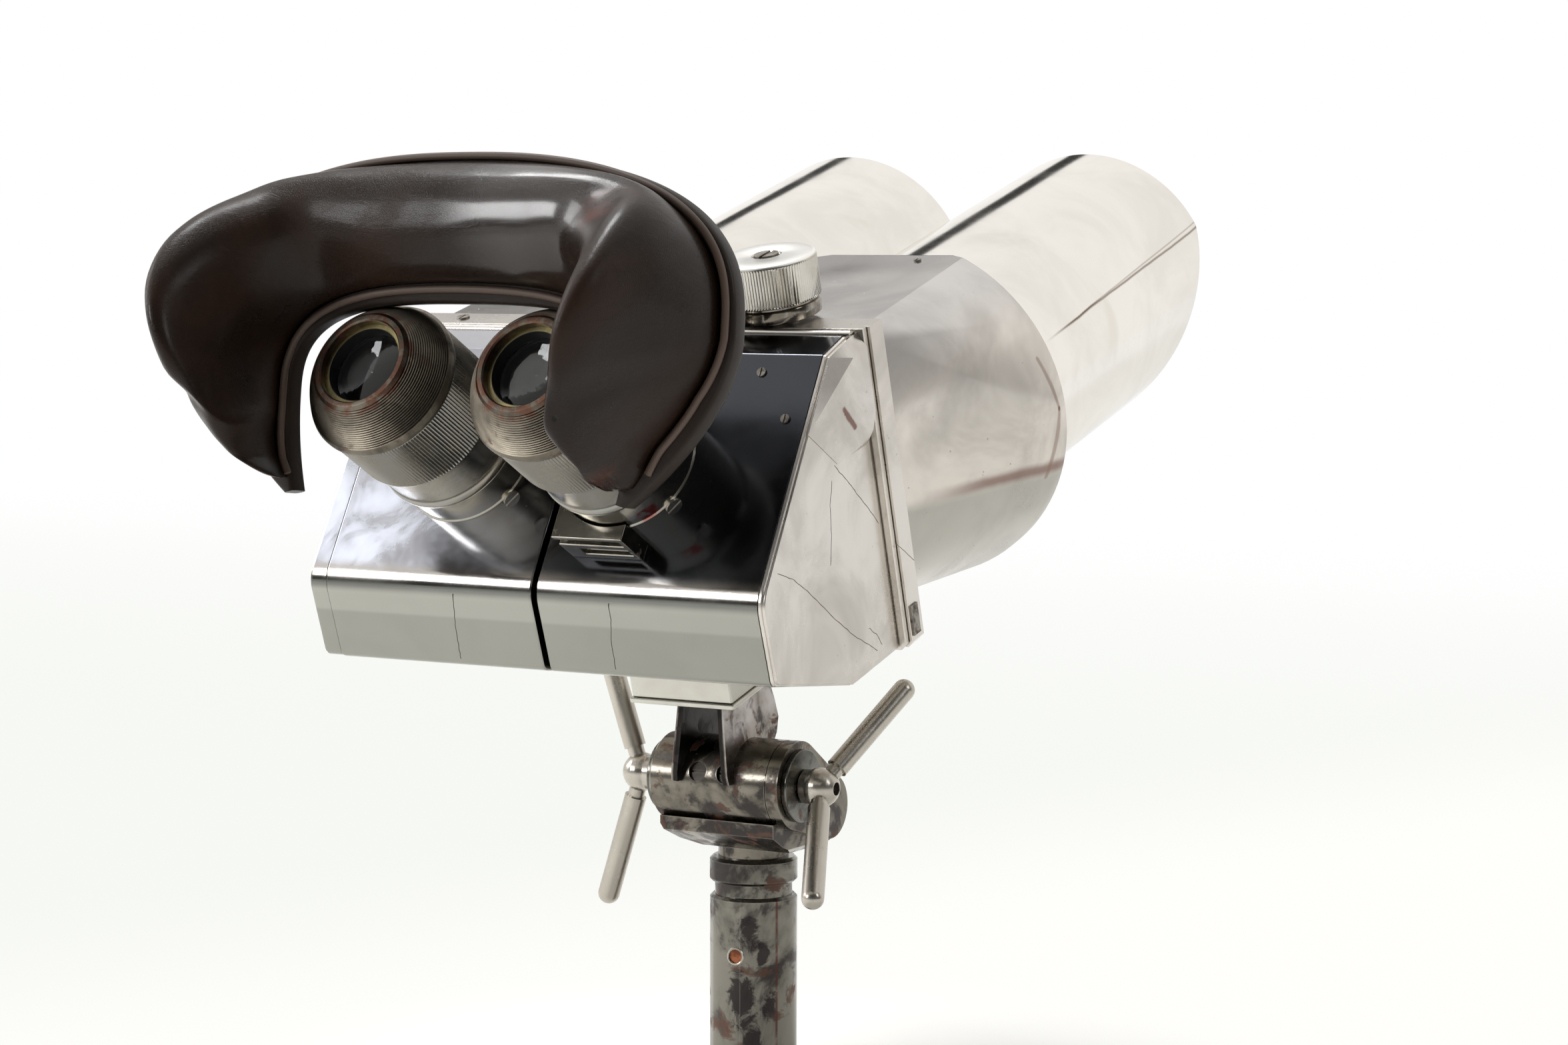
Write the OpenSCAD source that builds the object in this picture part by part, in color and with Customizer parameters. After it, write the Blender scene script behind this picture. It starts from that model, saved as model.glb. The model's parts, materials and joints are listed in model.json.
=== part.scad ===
// Large mounted binoculars with inclined eyepieces, headrest, tilt head and post.
// Millimetres. Origin at the bottom centre of the post, +Z up, +Y the heading of the
// objectives, +X to the observer's right.

/* [Post] */
// Outer radius of the post tube
post_r = 16.5; // [15:0.5:20]
// Height of the plain part of the post
post_h = 76; // [62:1:120]
// Radius of the bore in the foot of the post
post_bore_r = 12; // [9:0.5:13]
// Depth of the bore in the foot of the post
post_bore_l = 34; // [24:1:40]
// Radius of the turned groove under the collar
groove_r = 14.6; // [13.5:0.1:14.8]
// Height of the turned groove
groove_h = 5; // [3:0.5:8]
// Radius of the collar at the top of the post
collar_r = 16.6; // [15.5:0.1:19]
// Height of the collar
collar_h = 9.5; // [7:0.5:14]
// Radius of the pan spigot of the head
spigot_r = 10; // [7:0.5:10.5]
// Length of the pan spigot inside the post
spigot_l = 30; // [20:1:34]
// Radius of the drain plug in the post
plug_r = 2.6; // [1.8:0.1:3.5]
// Height of the drain plug above the foot
plug_z = 54.4; // [42:0.2:60]
// Angle of the drain plug round the post, in degrees
plug_turn = -6; // [-30:1:30]

/* [Tilt head] */
// Distance of the tilt axis behind the post axis
tilt_back = 19.5; // [12:0.5:24]
// Height of the tilt axis above the underside of the head
tilt_rise = 28.2; // [26.5:0.1:34]
// Height of the neck between collar and head
neck_h = 3; // [2:0.5:6]
// Radius of the neck
neck_r = 13.4; // [11:0.1:14]
// Radius of the tilting barrel
barrel_r = 16.5; // [14:0.5:18]
// Left end of the barrel, from the middle plane
barrel_left = 25; // [20:0.5:30]
// Right end of the barrel, from the middle plane
barrel_right = 25.5; // [20:0.5:30]
// Radius of the tilt bolt
bolt_r = 5; // [4:0.25:5.5]
// Thickness of the cam plate at the right side of the head
cam_t = 5; // [4:0.5:8]
// Radius of the cam plate's lobe over the post
lobe_r = 12; // [10:0.5:13]
// Distance of the lobe ahead of the tilt axis
lobe_ahead = 25; // [20:0.5:30]
// Radius of the friction washers
washer_r = 13.5; // [10:0.5:15]
// Thickness of a friction washer
washer_t = 2.2; // [1.5:0.1:4]
// Radius of a clamp hub's ball
hub_r = 7.4; // [7:0.1:8]
// Length of the left clamp's hub
hub_l = 17.4; // [13:0.2:20]
// Length of the right clamp's hub
hub_right_l = 14; // [13:0.2:20]
// Length of a clamp arm from the middle of the hub's ball
arm_l = 54.8; // [34:0.2:56]
// Radius of a clamp arm
arm_r = 4.15; // [3:0.05:4.5]
// Lean of the clamp arms away from the head, in degrees
arm_lean = 18.5; // [8:0.5:20]
// Angle between the two arms of a clamp, in degrees
arm_spread = 178.6; // [140:0.2:180]

/* [Fork and foot] */
// Height of the optical axes above the tilt axis
axis_above = 123.2; // [118:1:130]
// Distance of the drum faces ahead of the tilt axis
front_ahead = 78.7; // [74:1:84]
// Pitch of the optical axes at rest, in degrees
rest_pitch = 16.3; // [10:0.1:20]
// Half the clear width between the fork plates at their top
fork_gap = 6.7; // [5:0.1:8]
// Thickness of a fork plate
fork_t = 2.6; // [2:0.1:4]
// Splay of the left fork plate, in degrees
splay_left = 6.5; // [0:0.5:9]
// Splay of the right fork plate, in degrees
splay_right = 4.5; // [0:0.5:9]
// Radius of the two screws in the tilting barrel
fork_screw_r = 3.7; // [2.8:0.1:4]
// Length of the foot block along the optical axis
foot_l = 38; // [34:1:48]
// Half width of the foot block
foot_w = 21.3; // [18:0.5:26]
// Height of the foot block
foot_h = 23.5; // [20:0.5:26]
// Thickness of the foot's lip
lip_t = 2; // [1.5:0.1:3]
// Distance the lip stands proud of the foot block
lip_out = 0.8; // [0.4:0.1:1.5]
// Distance of the foot's rear face behind the drum faces
foot_back = 100.5; // [98:0.5:106]

/* [Prism housings] */
// Half the clear gap between the two halves
half_gap = 1.3; // [0.8:0.1:2]
// Outer face of a side plate from the middle plane
side_u = 90.4; // [86:0.2:91]
// Extra depth of the left side cover
left_extra = 5.2; // [0:0.2:7]
// Thickness of a side plate
side_t = 2.4; // [1.8:0.2:3]
// Wall thickness of a prism housing
wall = 3; // [2.4:0.2:3.6]
// Rear face of the prism housings behind the drum faces
rear_v = 180; // [176:1:186]
// Height of the bend between rear face and eyepiece panel, under the optical axis
bend_w = 9; // [6:0.5:12]
// Rounding radius of the bend
bend_r = 12; // [6:1:16]
// Height of the lower rear edge under the optical axis
rear_low_w = 39; // [34:0.5:42]
// Height of the flat underside under the optical axis
bottom_w = 59; // [58.5:0.5:62]
// Rear end of the flat underside behind the drum faces
bottom_v = 128; // [122:1:132]
// Height of the top of the eyepiece panel above the optical axis
panel_top_w = 55.8; // [52:0.2:57]
// Height of the top rib and flange above the optical axis
flange_top_w = 58.7; // [58:0.1:62]
// Radius of the top rib and the side bead
bead_r = 1.5; // [1:0.1:2]
// Height of a raised ear cover over the side plate
ear_t = 4; // [2.5:0.5:5]

/* [Flanges and drums] */
// Distance of the flange's front face behind the drum faces
flange_v = 83; // [80:1:86]
// Thickness of a flange
flange_t = 12; // [10.5:0.5:13]
// Outer edge of a flange from the middle plane
flange_u = 94.4; // [93.5:0.1:97]
// Distance of an optical axis from the middle plane
tube_u = 55; // [54:0.5:57]
// Radius of a drum's front
drum_r = 64.8; // [63:0.1:66]
// Height of the flat top of a drum above the optical axis
drum_top_w = 57; // [55:0.2:57.5]
// Radius of the recess for the sunshade in a drum
recess_r = 52; // [51.5:0.1:52.4]
// Radius of the light hole through a flange
light_r = 12; // [9:0.5:14]

/* [Sunshades and objectives] */
// Outer radius of a sunshade
shade_r = 50; // [49.3:0.1:50.4]
// Wall thickness of a sunshade
shade_t = 1.5; // [1:0.1:1.8]
// Front end of the sunshades ahead of the drum faces
shade_front = 170; // [120:1:190]
// Height over the optical axis below which a sunshade is cut back
cut_w = 20; // [0:1:30]
// Angle by which the lower part of a sunshade is cut back, in degrees
cut_angle = 33; // [0:1:40]
// Length of a sunshade inside its drum
shade_in = 5; // [4:0.5:6]
// Distance a sunshade can be pushed into its drum
shade_travel = 20; // [12:1:20]
// Length of an objective tube ahead of its drum
tube_out = 40; // [32:1:60]
// Clear radius of an objective
aperture_r = 40; // [36:0.5:41]
// Centre thickness of an objective lens
lens_t = 11; // [8:0.5:13]

/* [Filter drive] */
// Distance of the filter knob from the middle plane
knob_u = 51.4; // [46:0.2:56]
// Distance of the filter knob behind the drum faces
knob_v = 81.6; // [80:0.2:84]
// Radius of the filter knob
knob_r = 17.4; // [14:0.2:19]
// Height of the filter knob over the flange
knob_h = 21.3; // [16:0.1:26]
// Height of the plain ring at the foot of the filter knob
knob_ring_h = 5; // [3:0.5:7]
// Radius of the knob's shaft
knob_shaft_r = 3; // [2:0.25:3.5]
// Radius of a filter wheel
wheel_r = 29; // [26:0.5:29.5]
// Height of a filter wheel's centre over the optical axis
wheel_w = 17; // [15.5:0.5:18]
// Thickness of a filter wheel
wheel_t = 4; // [3:0.5:5]

/* [Eyepieces] */
// Distance of an eyepiece axis from the middle plane
eye_u = 32.6; // [30:0.2:34]
// Distance of an eyepiece axis up the panel from the bend
eye_up = 43.9; // [41:0.1:47]
// Radius of the fixed eyepiece base
base_r = 25.5; // [24:0.1:26.5]
// Height of the fixed eyepiece base over the panel
base_h = 24.5; // [20:0.5:28]
// Outer radius of the bearing sleeve on the base
sleeve_r = 23; // [21.5:0.1:23.5]
// Radius of the sliding eyepiece barrel
slide_r = 20; // [16:0.5:20.5]
// Radius of the knurled focusing ring
ring_r = 27; // [25.5:0.1:28.5]
// Height of the plain band of the focusing ring
band_h = 19; // [14:0.5:24]
// Height of the knurled part of the focusing ring
knurl_h = 24.5; // [18:0.5:28]
// Height of the eyecup cone
cup_h = 16.2; // [12:0.1:20]
// Outer radius of the eyecup at its mouth
cup_top_r = 17.2; // [16.6:0.1:20]
// Radius of the eyecup's mouth
cup_bore_r = 15; // [13.5:0.1:15.8]
// Radius of an eye lens
eye_lens_r = 13.2; // [11:0.1:13.4]
// Depth of the eye lens under the eyecup's mouth
eye_lens_deep = 4.5; // [4:0.1:7]
// Width of the slotted bracket at the right eyepiece
bracket_w = 28; // [20:0.5:32]
// Height of the slotted bracket over the panel
bracket_h = 15.7; // [12:0.1:20]
// Length of the slotted bracket down the panel
bracket_l = 9; // [6:0.5:11]

/* [Headrest] */
// Angle of the headrest's facing above the optical axes, in degrees
rest_angle = 22; // [18:1:26]
// Distance of the headrest's back from the drum faces along its facing
rest_s = 207; // [205:0.5:215]
// Half width of the headrest
rest_w = 105; // [98:1:112]
// Top of the headrest, measured up its back
rest_top = 66.5; // [62:0.5:74]
// Widest level of the headrest, measured up its back
rest_wide = 8; // [4:1:12]
// Lower tips of the headrest, measured up its back
rest_tip = -47; // [-54:1:-42]
// Inset of the tips from the widest outline
tip_in = 37; // [30:1:42]
// Upper edge of the face opening, measured up the back
arch_top = 17.6; // [17:0.2:22]
// Half width of the face opening
arch_w = 68; // [64:0.5:72]
// Thickness of the covered frame band
band_t = 8; // [6:0.5:10]
// Height of the cushion at the brow
brow_h = 18; // [12:1:22]
// Height of the cushion at the temples
temple_h = 60; // [50:1:66]
// Margin of the cushion inside the frame band at the temples
pad_in = 6.5; // [6:0.1:8]
// Margin of the cushion inside the frame band at the brow
top_in = 2.8; // [2.6:0.1:4]
// Radius of the welt around the cushion
welt_r = 1.3; // [1:0.1:1.4]
// Width of the headrest's stem
stem_w = 14; // [10:1:18]
// Thickness of the headrest's stem
stem_t = 8; // [6:0.5:10]
// Distance the headrest can be pulled out
rest_slide = 12; // [4:1:14]
// Height of the thumbscrew over the clamp block's foot
clamp_screw_h = 12.8; // [12:0.2:13.6]

/* [Small parts] */
// Radius of the cover and rim screws' heads
screw_r = 2.4; // [1.6:0.1:3]
// Radius of the screws on the eyepiece bases
base_screw_r = 3; // [2:0.1:3.5]

/* [Hidden] */
$fn = 64;
// Running clearance between sliding or turning pieces
run = 0.05;
// Running clearance between the clamp hubs and the washers
face = 0.2;
gap = 0.3;

head_z = post_h + groove_h + collar_h + neck_h;
tilt_z = head_z + tilt_rise;
k45 = sqrt(0.5);
panel_len = (panel_top_w + bend_w) / k45;
panel_top_v = -rear_v + panel_len * k45;
rib_v = -flange_v - flange_t - 5;
plate_v = -flange_v - flange_t;
boss_h = 0.7;
knob_foot_w = max(flange_top_w, drum_top_w) + boss_h + gap;
ring_z0 = base_h + gap;
ring_z1 = base_h + band_h + knurl_h;
cup_z1 = ring_z1 + cup_h;
shade_rear = -shade_in;
recess_l = shade_in + shade_travel + 2;
top_w = max(flange_top_w, drum_top_w);
head_back = tilt_back + 12;
cam_x = barrel_right + gap;
hub_right_x = cam_x + cam_t + washer_t + face;
hub_left_x = barrel_left + washer_t + face;
fork_top = axis_above - bottom_w - foot_h - lip_t;
hub_neck_r = hub_r * cos(30);
// Length of bodies that cut right through
through = 300;
seat_r = 44;
seat_l = 22;

// Corner between two lines of a polygon, each moved inwards by d
function side_n(a, b) = let (d = b - a, l = norm(d)) [-d[1] / l, d[0] / l];
function meet(p, u, q, v) =
    let (det = u[0] * v[1] - u[1] * v[0], r = q - p)
    p + u * ((r[0] * v[1] - r[1] * v[0]) / det);
function inset(pts, d) =
    let (n = len(pts))
    [for (i = [0 : n - 1])
        let (a = pts[(i + n - 1) % n], b = pts[i], c = pts[(i + 1) % n])
        meet(a + side_n(a, b) * d, b - a, b + side_n(b, c) * d, c - b)];

// Points of an arc that rounds the corner b between a and c
function arc_at(a, b, c, r, n = 8) =
    let (
        u = (a - b) / norm(a - b), v = (c - b) / norm(c - b),
        half = acos(u * v) / 2, m = (u + v) / norm(u + v),
        o = b + m * (r / sin(half)), s = b + u * (r / tan(half)) - o,
        e = b + v * (r / tan(half)) - o, a0 = atan2(s[1], s[0]),
        da = atan2(s[0] * e[1] - s[1] * e[0], s * e))
    [for (i = [0 : n]) o + r * [cos(a0 + da * i / n), sin(a0 + da * i / n)]];

// Side outline of a prism housing in the plane of the optical axis, as [v, w]
bend_p = [-rear_v, -bend_w];
low_p = [-rear_v + 1.5, -rear_low_w];
profile = [
    [plate_v, -bottom_w],
    [plate_v, flange_top_w - 0.7],
    [rib_v, flange_top_w - 0.7],
    [panel_top_v, panel_top_w],
    bend_p,
    low_p,
    [-bottom_v, -bottom_w]
];
rounded_profile = concat(
    [profile[0], profile[1], profile[2]],
    arc_at(profile[2], profile[3], profile[4], 1.5, 3),
    arc_at(profile[3], bend_p, low_p, bend_r),
    arc_at(bend_p, low_p, profile[6], 3, 4),
    [profile[6]]
);

// Places the binocular's own frame: y along the optical axes, z across them
module on_tilt()
    translate([0, -tilt_back, tilt_z])
        rotate([rest_pitch, 0, 0])
            translate([0, front_ahead, axis_above])
                children();

// Extrudes a [v, w] outline across the binocular from u0 to u1
module across(u0, u1)
    translate([u0, 0, 0])
        rotate([90, 0, 90])
            linear_extrude(u1 - u0)
                children();

// Turns a shape's own z axis onto the optical axis
module forward(v0)
    translate([0, v0, 0])
        rotate([-90, 0, 0])
            children();

module ahead_tube(r0, r1, v0, v1)
    forward(v0)
        difference() {
            cylinder(r = r1, h = v1 - v0);
            translate([0, 0, -1])
                cylinder(r = r0, h = v1 - v0 + 2);
        }

module side(right)
    mirror([right ? 0 : 1, 0, 0])
        children();

// Frame of an eyepiece: origin on the panel, z along the eyepiece axis
module at_eye()
    translate([eye_u, -rear_v + eye_up * k45, -bend_w + eye_up * k45])
        rotate([45, 0, 0])
            children();

module round_ring(r0, r1, z0, z1)
    difference() {
        translate([0, 0, z0])
            cylinder(r = r1, h = z1 - z0);
        translate([0, 0, z0 - 1])
            cylinder(r = r0, h = z1 - z0 + 2);
    }

// Post and head

module post() {
    top = post_h + groove_h + collar_h;
    color("dimgray")
        difference() {
            rotate_extrude()
                polygon([
                    [0, 0], [post_r - 0.6, 0], [post_r, 0.6], [post_r, post_h - 1],
                    [post_r - 1, post_h], [groove_r, post_h], [groove_r, post_h + groove_h],
                    [collar_r - 1, post_h + groove_h], [collar_r, post_h + groove_h + 1],
                    [collar_r, top - 1.2], [collar_r - 1.2, top], [0, top]
                ]);
            translate([0, 0, -1])
                cylinder(r = post_bore_r, h = post_bore_l + 1);
            translate([0, 0, top - spigot_l - 1])
                cylinder(r = spigot_r + run, h = spigot_l + 2);
            rotate([90, 0, -plug_turn])
                translate([0, plug_z, post_r - 3])
                    cylinder(r = plug_r, h = 6);
        }
}

module post_plug()
    color("peru")
        rotate([90, 0, -plug_turn])
            translate([0, plug_z, post_r - 3])
                cylinder(r = plug_r, h = 2.4);

// Outline of two circles and their common tangents, in the [y, z] plane
module cam_outline(r0, r1, d) {
    l = norm(d);
    a = atan2(d[1], d[0]);
    t = acos((r0 - r1) / l);
    circle(r = r0);
    translate(d)
        circle(r = r1);
    polygon([
        r0 * [cos(a + t), sin(a + t)],
        r0 * [cos(a - t), sin(a - t)],
        d + r1 * [cos(a - t), sin(a - t)],
        d + r1 * [cos(a + t), sin(a + t)]
    ]);
}

module tilt_head() {
    seat_top = tilt_rise - barrel_r * 0.82;
    color("gray")
        difference() {
            union() {
                intersection() {
                    translate([-60, 0, head_z])
                        rotate([90, 0, 90])
                            linear_extrude(120)
                                polygon([
                                    [-tilt_back + 6, 1.5], [neck_r, 1.5], [neck_r + 1, seat_top],
                                    [-head_back, seat_top], [-head_back, 9.5], [-tilt_back - 5, 5.5]
                                ]);
                    translate([0, 60, head_z])
                        rotate([90, 0, 0])
                            linear_extrude(120)
                                polygon([
                                    [-14, 1], [cam_x - 3, 1], [cam_x + 1, 4], [cam_x + 1, 40],
                                    [3 - barrel_left, 40], [3 - barrel_left, seat_top - 3], [-18, 6]
                                ]);
                }
                translate([cam_x, -tilt_back, tilt_z])
                    rotate([90, 0, 90])
                        linear_extrude(cam_t)
                            cam_outline(barrel_r, lobe_r, [lobe_ahead, lobe_r - tilt_rise + 5]);
                translate([0, 0, head_z - neck_h - spigot_l + 0.5])
                    cylinder(r = spigot_r, h = spigot_l + neck_h);
                translate([0, 0, head_z - neck_h])
                    cylinder(r = neck_r, h = neck_h + 2);
            }
            translate([-60, -tilt_back, tilt_z])
                rotate([0, 90, 0])
                    cylinder(r = barrel_r + run, h = 60 + cam_x);
            translate([-60, -tilt_back, tilt_z])
                rotate([0, 90, 0])
                    cylinder(r = bolt_r + run, h = 120);
        }
}

module tilt_bolt()
    color("silver")
        translate([-hub_left_x - hub_l * 0.7, -tilt_back, tilt_z])
            rotate([0, 90, 0])
                cylinder(r = bolt_r, h = hub_left_x + hub_right_x + (hub_l + hub_right_l) * 0.7);

module friction_washers()
    color("darkgray")
        for (x = [-barrel_left - washer_t, cam_x + cam_t])
            translate([x, -tilt_back, tilt_z])
                rotate([0, 90, 0])
                    difference() {
                        cylinder(r = washer_r, h = washer_t);
                        translate([0, 0, -1])
                            cylinder(r = bolt_r + run, h = washer_t + 2);
                    }

// A clamp hub of length l: a neck with its flat face at the origin and a ball along +z
module hub_form(l)
    rotate_extrude()
        polygon(concat(
            [[0, 0], [hub_neck_r - 0.6, 0], [hub_neck_r, 0.6]],
            [for (a = [-30 : 12 : 78]) [hub_r * cos(a), l - hub_r + hub_r * sin(a)]],
            [[0, l]]
        ));

module hub(l)
    difference() {
        hub_form(l);
        translate([0, 0, -1])
            cylinder(r = bolt_r + run, h = l * 0.7 + 1 + gap);
        translate([0, 0, l * 0.7])
            cylinder(r = 2.4, h = l);
    }

// Two arms that leave a hub of length l, leaning away from the head
module arms(l, turn)
    for (s = [-1, 1])
        rotate([0, 0, turn + s * arm_spread / 2])
            difference() {
                translate([0, 0, l - hub_r])
                    rotate([0, 90 - arm_lean, 0]) {
                        cylinder(r = arm_r - 1, h = hub_r + 4);
                        translate([0, 0, hub_r + 2.5])
                            cylinder(r = arm_r, h = arm_l - arm_r - hub_r - 2.5);
                        translate([0, 0, arm_l - arm_r])
                            sphere(r = arm_r);
                    }
                hub_form(l);
            }

module place_hub(right)
    translate([right ? hub_right_x : -hub_left_x, -tilt_back, tilt_z])
        rotate([0, right ? 90 : -90, 0])
            children();

module clamp_hub_right()
    color("silver")
        place_hub(true)
            hub(hub_right_l);

module clamp_arms_right()
    color("silver")
        place_hub(true)
            arms(hub_right_l, 44.7);

module clamp_hub_left()
    color("silver")
        place_hub(false)
            hub(hub_l);

module clamp_arms_left()
    color("silver")
        place_hub(false)
            arms(hub_l, 88.8);

// Barrel, fork and foot

module tilt_barrel()
    color("gray")
        difference() {
            translate([-barrel_left, -tilt_back, tilt_z])
                rotate([0, 90, 0])
                    rotate_extrude()
                        polygon([
                            [bolt_r + run, 0], [barrel_r - 1.5, 0], [barrel_r, 1.5],
                            [barrel_r, barrel_left + barrel_right],
                            [bolt_r + run, barrel_left + barrel_right]
                        ]);
            at_fork_screws()
                cylinder(r = fork_screw_r, h = 5);
        }

// Places of the two counterbored screws, each on the floor of its pocket
module at_fork_screws()
    on_fork()
        for (x = [-3.4, 8.4])
            translate([x, 0, 0])
                rotate([57, 0, 0])
                    translate([0, 0, barrel_r - 2.5])
                        children();

// The fork's frame has its origin on the tilt axis and turns with the binocular
module on_fork()
    translate([0, -tilt_back, tilt_z])
        rotate([rest_pitch, 0, 0])
            children();

// The left plate of the fork, leaning outwards from its top edge down
module fork_plate(splay)
    difference() {
        translate([-fork_gap - fork_t, 0, fork_top])
            rotate([0, splay, 0])
                translate([0, 0, -fork_top])
                    rotate([90, 0, 90])
                        linear_extrude(fork_t)
                            union() {
                                polygon([
                                    [front_ahead - foot_back + 13, fork_top],
                                    [-17.5, 9.5], [-17.5, 6], [-14, 5], [14, 6], [21, 11],
                                    [24.4, 16], [24.4, 24], [22.5, fork_top]
                                ]);
                                translate([15.4, 19])
                                    circle(r = 9);
                            }
        rotate([0, 90, 0])
            translate([0, 0, -60])
                cylinder(r = barrel_r, h = 120);
    }

module fork()
    color("gray")
        on_fork() {
            fork_plate(splay_left);
            mirror([1, 0, 0])
                fork_plate(splay_right);
            translate([-fork_gap - 1, front_ahead - foot_back + 14, fork_top - 4])
                cube([2 * fork_gap + 2, 20.5 + foot_back - front_ahead - 13, 4]);
        }

module fork_screws()
    color("darkgray")
        at_fork_screws()
            difference() {
                cylinder(r = fork_screw_r, h = 1.2);
                translate([-5, -0.4, 0.6])
                    cube([10, 0.8, 2]);
            }

module foot_block()
    color("lightgray")
        on_tilt()
            translate([-foot_w, -foot_back, -bottom_w - foot_h])
                cube([2 * foot_w, foot_l, foot_h]);

module foot_plate()
    color("silver")
        on_tilt()
            translate([-foot_w - lip_out, -foot_back - lip_out, -bottom_w - foot_h - lip_t])
                cube([2 * (foot_w + lip_out), foot_l + lip_out, lip_t]);

// Prism housings

module light_path()
    translate([tube_u, 0, 0])
        forward(-flange_v - flange_t - 12)
            cylinder(r = light_r + 14, h = 20);

module prism_housing(right)
    color("silver")
        on_tilt()
            side(right)
                difference() {
                    across(half_gap, side_u - side_t)
                        polygon(rounded_profile);
                    across(half_gap + wall, side_u)
                        polygon(inset(profile, wall));
                    light_path();
                    at_eye()
                        translate([0, 0, -wall - 5])
                            cylinder(r = slide_r + 2, h = wall + 10);
                }

function extra(right) = right ? 0 : left_extra;

// Side cover with its outer edge set back
module cover_block(u1) {
    across(side_u - side_t, u1 - 1)
        polygon(inset(rounded_profile, 0.3));
    across(u1 - 1.4, u1)
        polygon(inset(rounded_profile, 1));
}

module side_plate(right)
    color("gainsboro")
        on_tilt()
            side(right)
                cover_block(side_u + extra(right));

module ear_covers()
    color("gainsboro")
        on_tilt()
            for (right = [true, false])
                side(right)
                translate([extra(right), 0, 0])
                hull() {
                    across(side_u, side_u + 0.2)
                        polygon([
                            [-136, 34.5], [-119.5, 18.5], [-98, 18.5], [plate_v, 23],
                            [plate_v, flange_top_w - 1.4], [rib_v, flange_top_w - 1.4],
                            [panel_top_v, panel_top_w - 0.8]
                        ]);
                    across(side_u + ear_t - 0.2, side_u + ear_t)
                        polygon([
                            [-117, 37], [-108, 28], [-99, 24], [plate_v - 0.6, 30],
                            [plate_v - 0.6, flange_top_w - 6], [-106, 52]
                        ]);
                }

// Outline of a flange, as [u, w]
module flange_outline(u1)
    polygon([
        [half_gap, -bottom_w], [u1 - 2, -bottom_w], [u1, -bottom_w + 2],
        [u1, flange_top_w], [half_gap, flange_top_w]
    ]);

module flange(right) {
    u1 = flange_u + extra(right);
    color("lightgray")
        on_tilt()
            side(right)
                difference() {
                    union() {
                        forward_plate(-flange_v - flange_t + 3, flange_t - 3)
                            flange_outline(u1);
                        forward_plate(-flange_v - flange_t, 2.5)
                            flange_outline(u1 - 1.2);
                        forward_plate(-flange_v - flange_t, 3)
                            flange_outline(u1 - 2.2);
                        if (right)
                            translate([knob_u, -knob_v, flange_top_w - 1])
                                cylinder(r = knob_shaft_r + 5, h = 1 + boss_h + top_w - flange_top_w);
                    }
                    translate([tube_u, 0, 0])
                        forward(-flange_v - flange_t - 5)
                            cylinder(r = light_r, h = 40);
                    translate([tube_u, 0, wheel_w])
                        forward(-flange_v - wheel_t - 2 * gap)
                            cylinder(r = wheel_r + 1, h = 20);
                    if (right)
                        translate([knob_u, -knob_v, wheel_w + wheel_r])
                            cylinder(r = knob_shaft_r + run, h = 60);
                }
}

// Extrudes a [u, w] outline forwards from v0 by d
module forward_plate(v0, d)
    translate([0, v0 + d, 0])
        rotate([90, 0, 0])
            linear_extrude(d)
                children();

// Rolled ribs across the top, just behind the flanges
module top_ribs()
    color("whitesmoke")
        on_tilt()
            for (right = [true, false])
                side(right)
                    translate([half_gap, rib_v + bead_r, flange_top_w - 1])
                        rotate([0, 90, 0])
                            difference() {
                                cylinder(r = bead_r, h = side_u - half_gap);
                                translate([-0.3, -5, -1])
                                    cube([5, 10, side_u + 2]);
                            }

// Drums: a flat-topped section behind that turns into a round front

module drum_cut()
    intersection() {
        children();
        translate([half_gap, -200, -120])
            cube([200, 300, 120 + drum_top_w]);
    }

module drum(right)
    color("lightgray")
        on_tilt()
            side(right)
                difference() {
                    hull() {
                        forward_plate(-flange_v, 0.5)
                            polygon([
                                [half_gap, -bottom_w + 4], [half_gap + 49, -bottom_w + 4],
                                [flange_u - 30.4, -bottom_w + 8], [flange_u - 19.4, -bottom_w + 14.5],
                                [flange_u - 9.4, -bottom_w + 23], [flange_u - 3.4, -bottom_w + 34],
                                [flange_u - 1, -bottom_w + 47], [flange_u - 1, drum_top_w - 7],
                                [flange_u - 6, drum_top_w], [half_gap, drum_top_w]
                            ]);
                        drum_cut()
                            translate([tube_u, 0, 0])
                                forward(-9)
                                    cylinder(r = drum_r, h = 6, $fn = 96);
                        drum_cut()
                            translate([tube_u, 0, 0])
                                forward(-1)
                                    cylinder(r = drum_r - 2.4, h = 1, $fn = 96);
                    }
                    translate([tube_u, 0, 0]) {
                        forward(-recess_l)
                            cylinder(r = recess_r, h = recess_l + 5);
                        forward(-recess_l - seat_l)
                            cylinder(r = seat_r, h = seat_l + 5);
                        forward(-flange_v - 5)
                            cylinder(r = light_r + 20, h = flange_v);
                    }
                    if (right)
                        translate([knob_u, -knob_v, wheel_w + wheel_r])
                            cylinder(r = knob_shaft_r + run, h = 60);
                    translate([tube_u, 0, wheel_w])
                        forward(-flange_v - 5)
                            cylinder(r = wheel_r + 1, h = 5 + gap);
                }

module seal_rings()
    color("black")
        on_tilt()
            for (right = [true, false])
                side(right)
                    translate([tube_u, 0, 0])
                        ahead_tube(shade_r + run, recess_r, -4.5, -1);

module sunshade(right)
    color("silver")
        on_tilt()
            side(right)
                difference() {
                    translate([tube_u, 0, 0])
                        ahead_tube(shade_r - shade_t, shade_r, shade_rear, shade_front);
                    translate([tube_u, shade_front, cut_w])
                        rotate([-cut_angle, 0, 0])
                            translate([-100, 0, -200])
                                cube([200, 200, 200]);
                }

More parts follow.
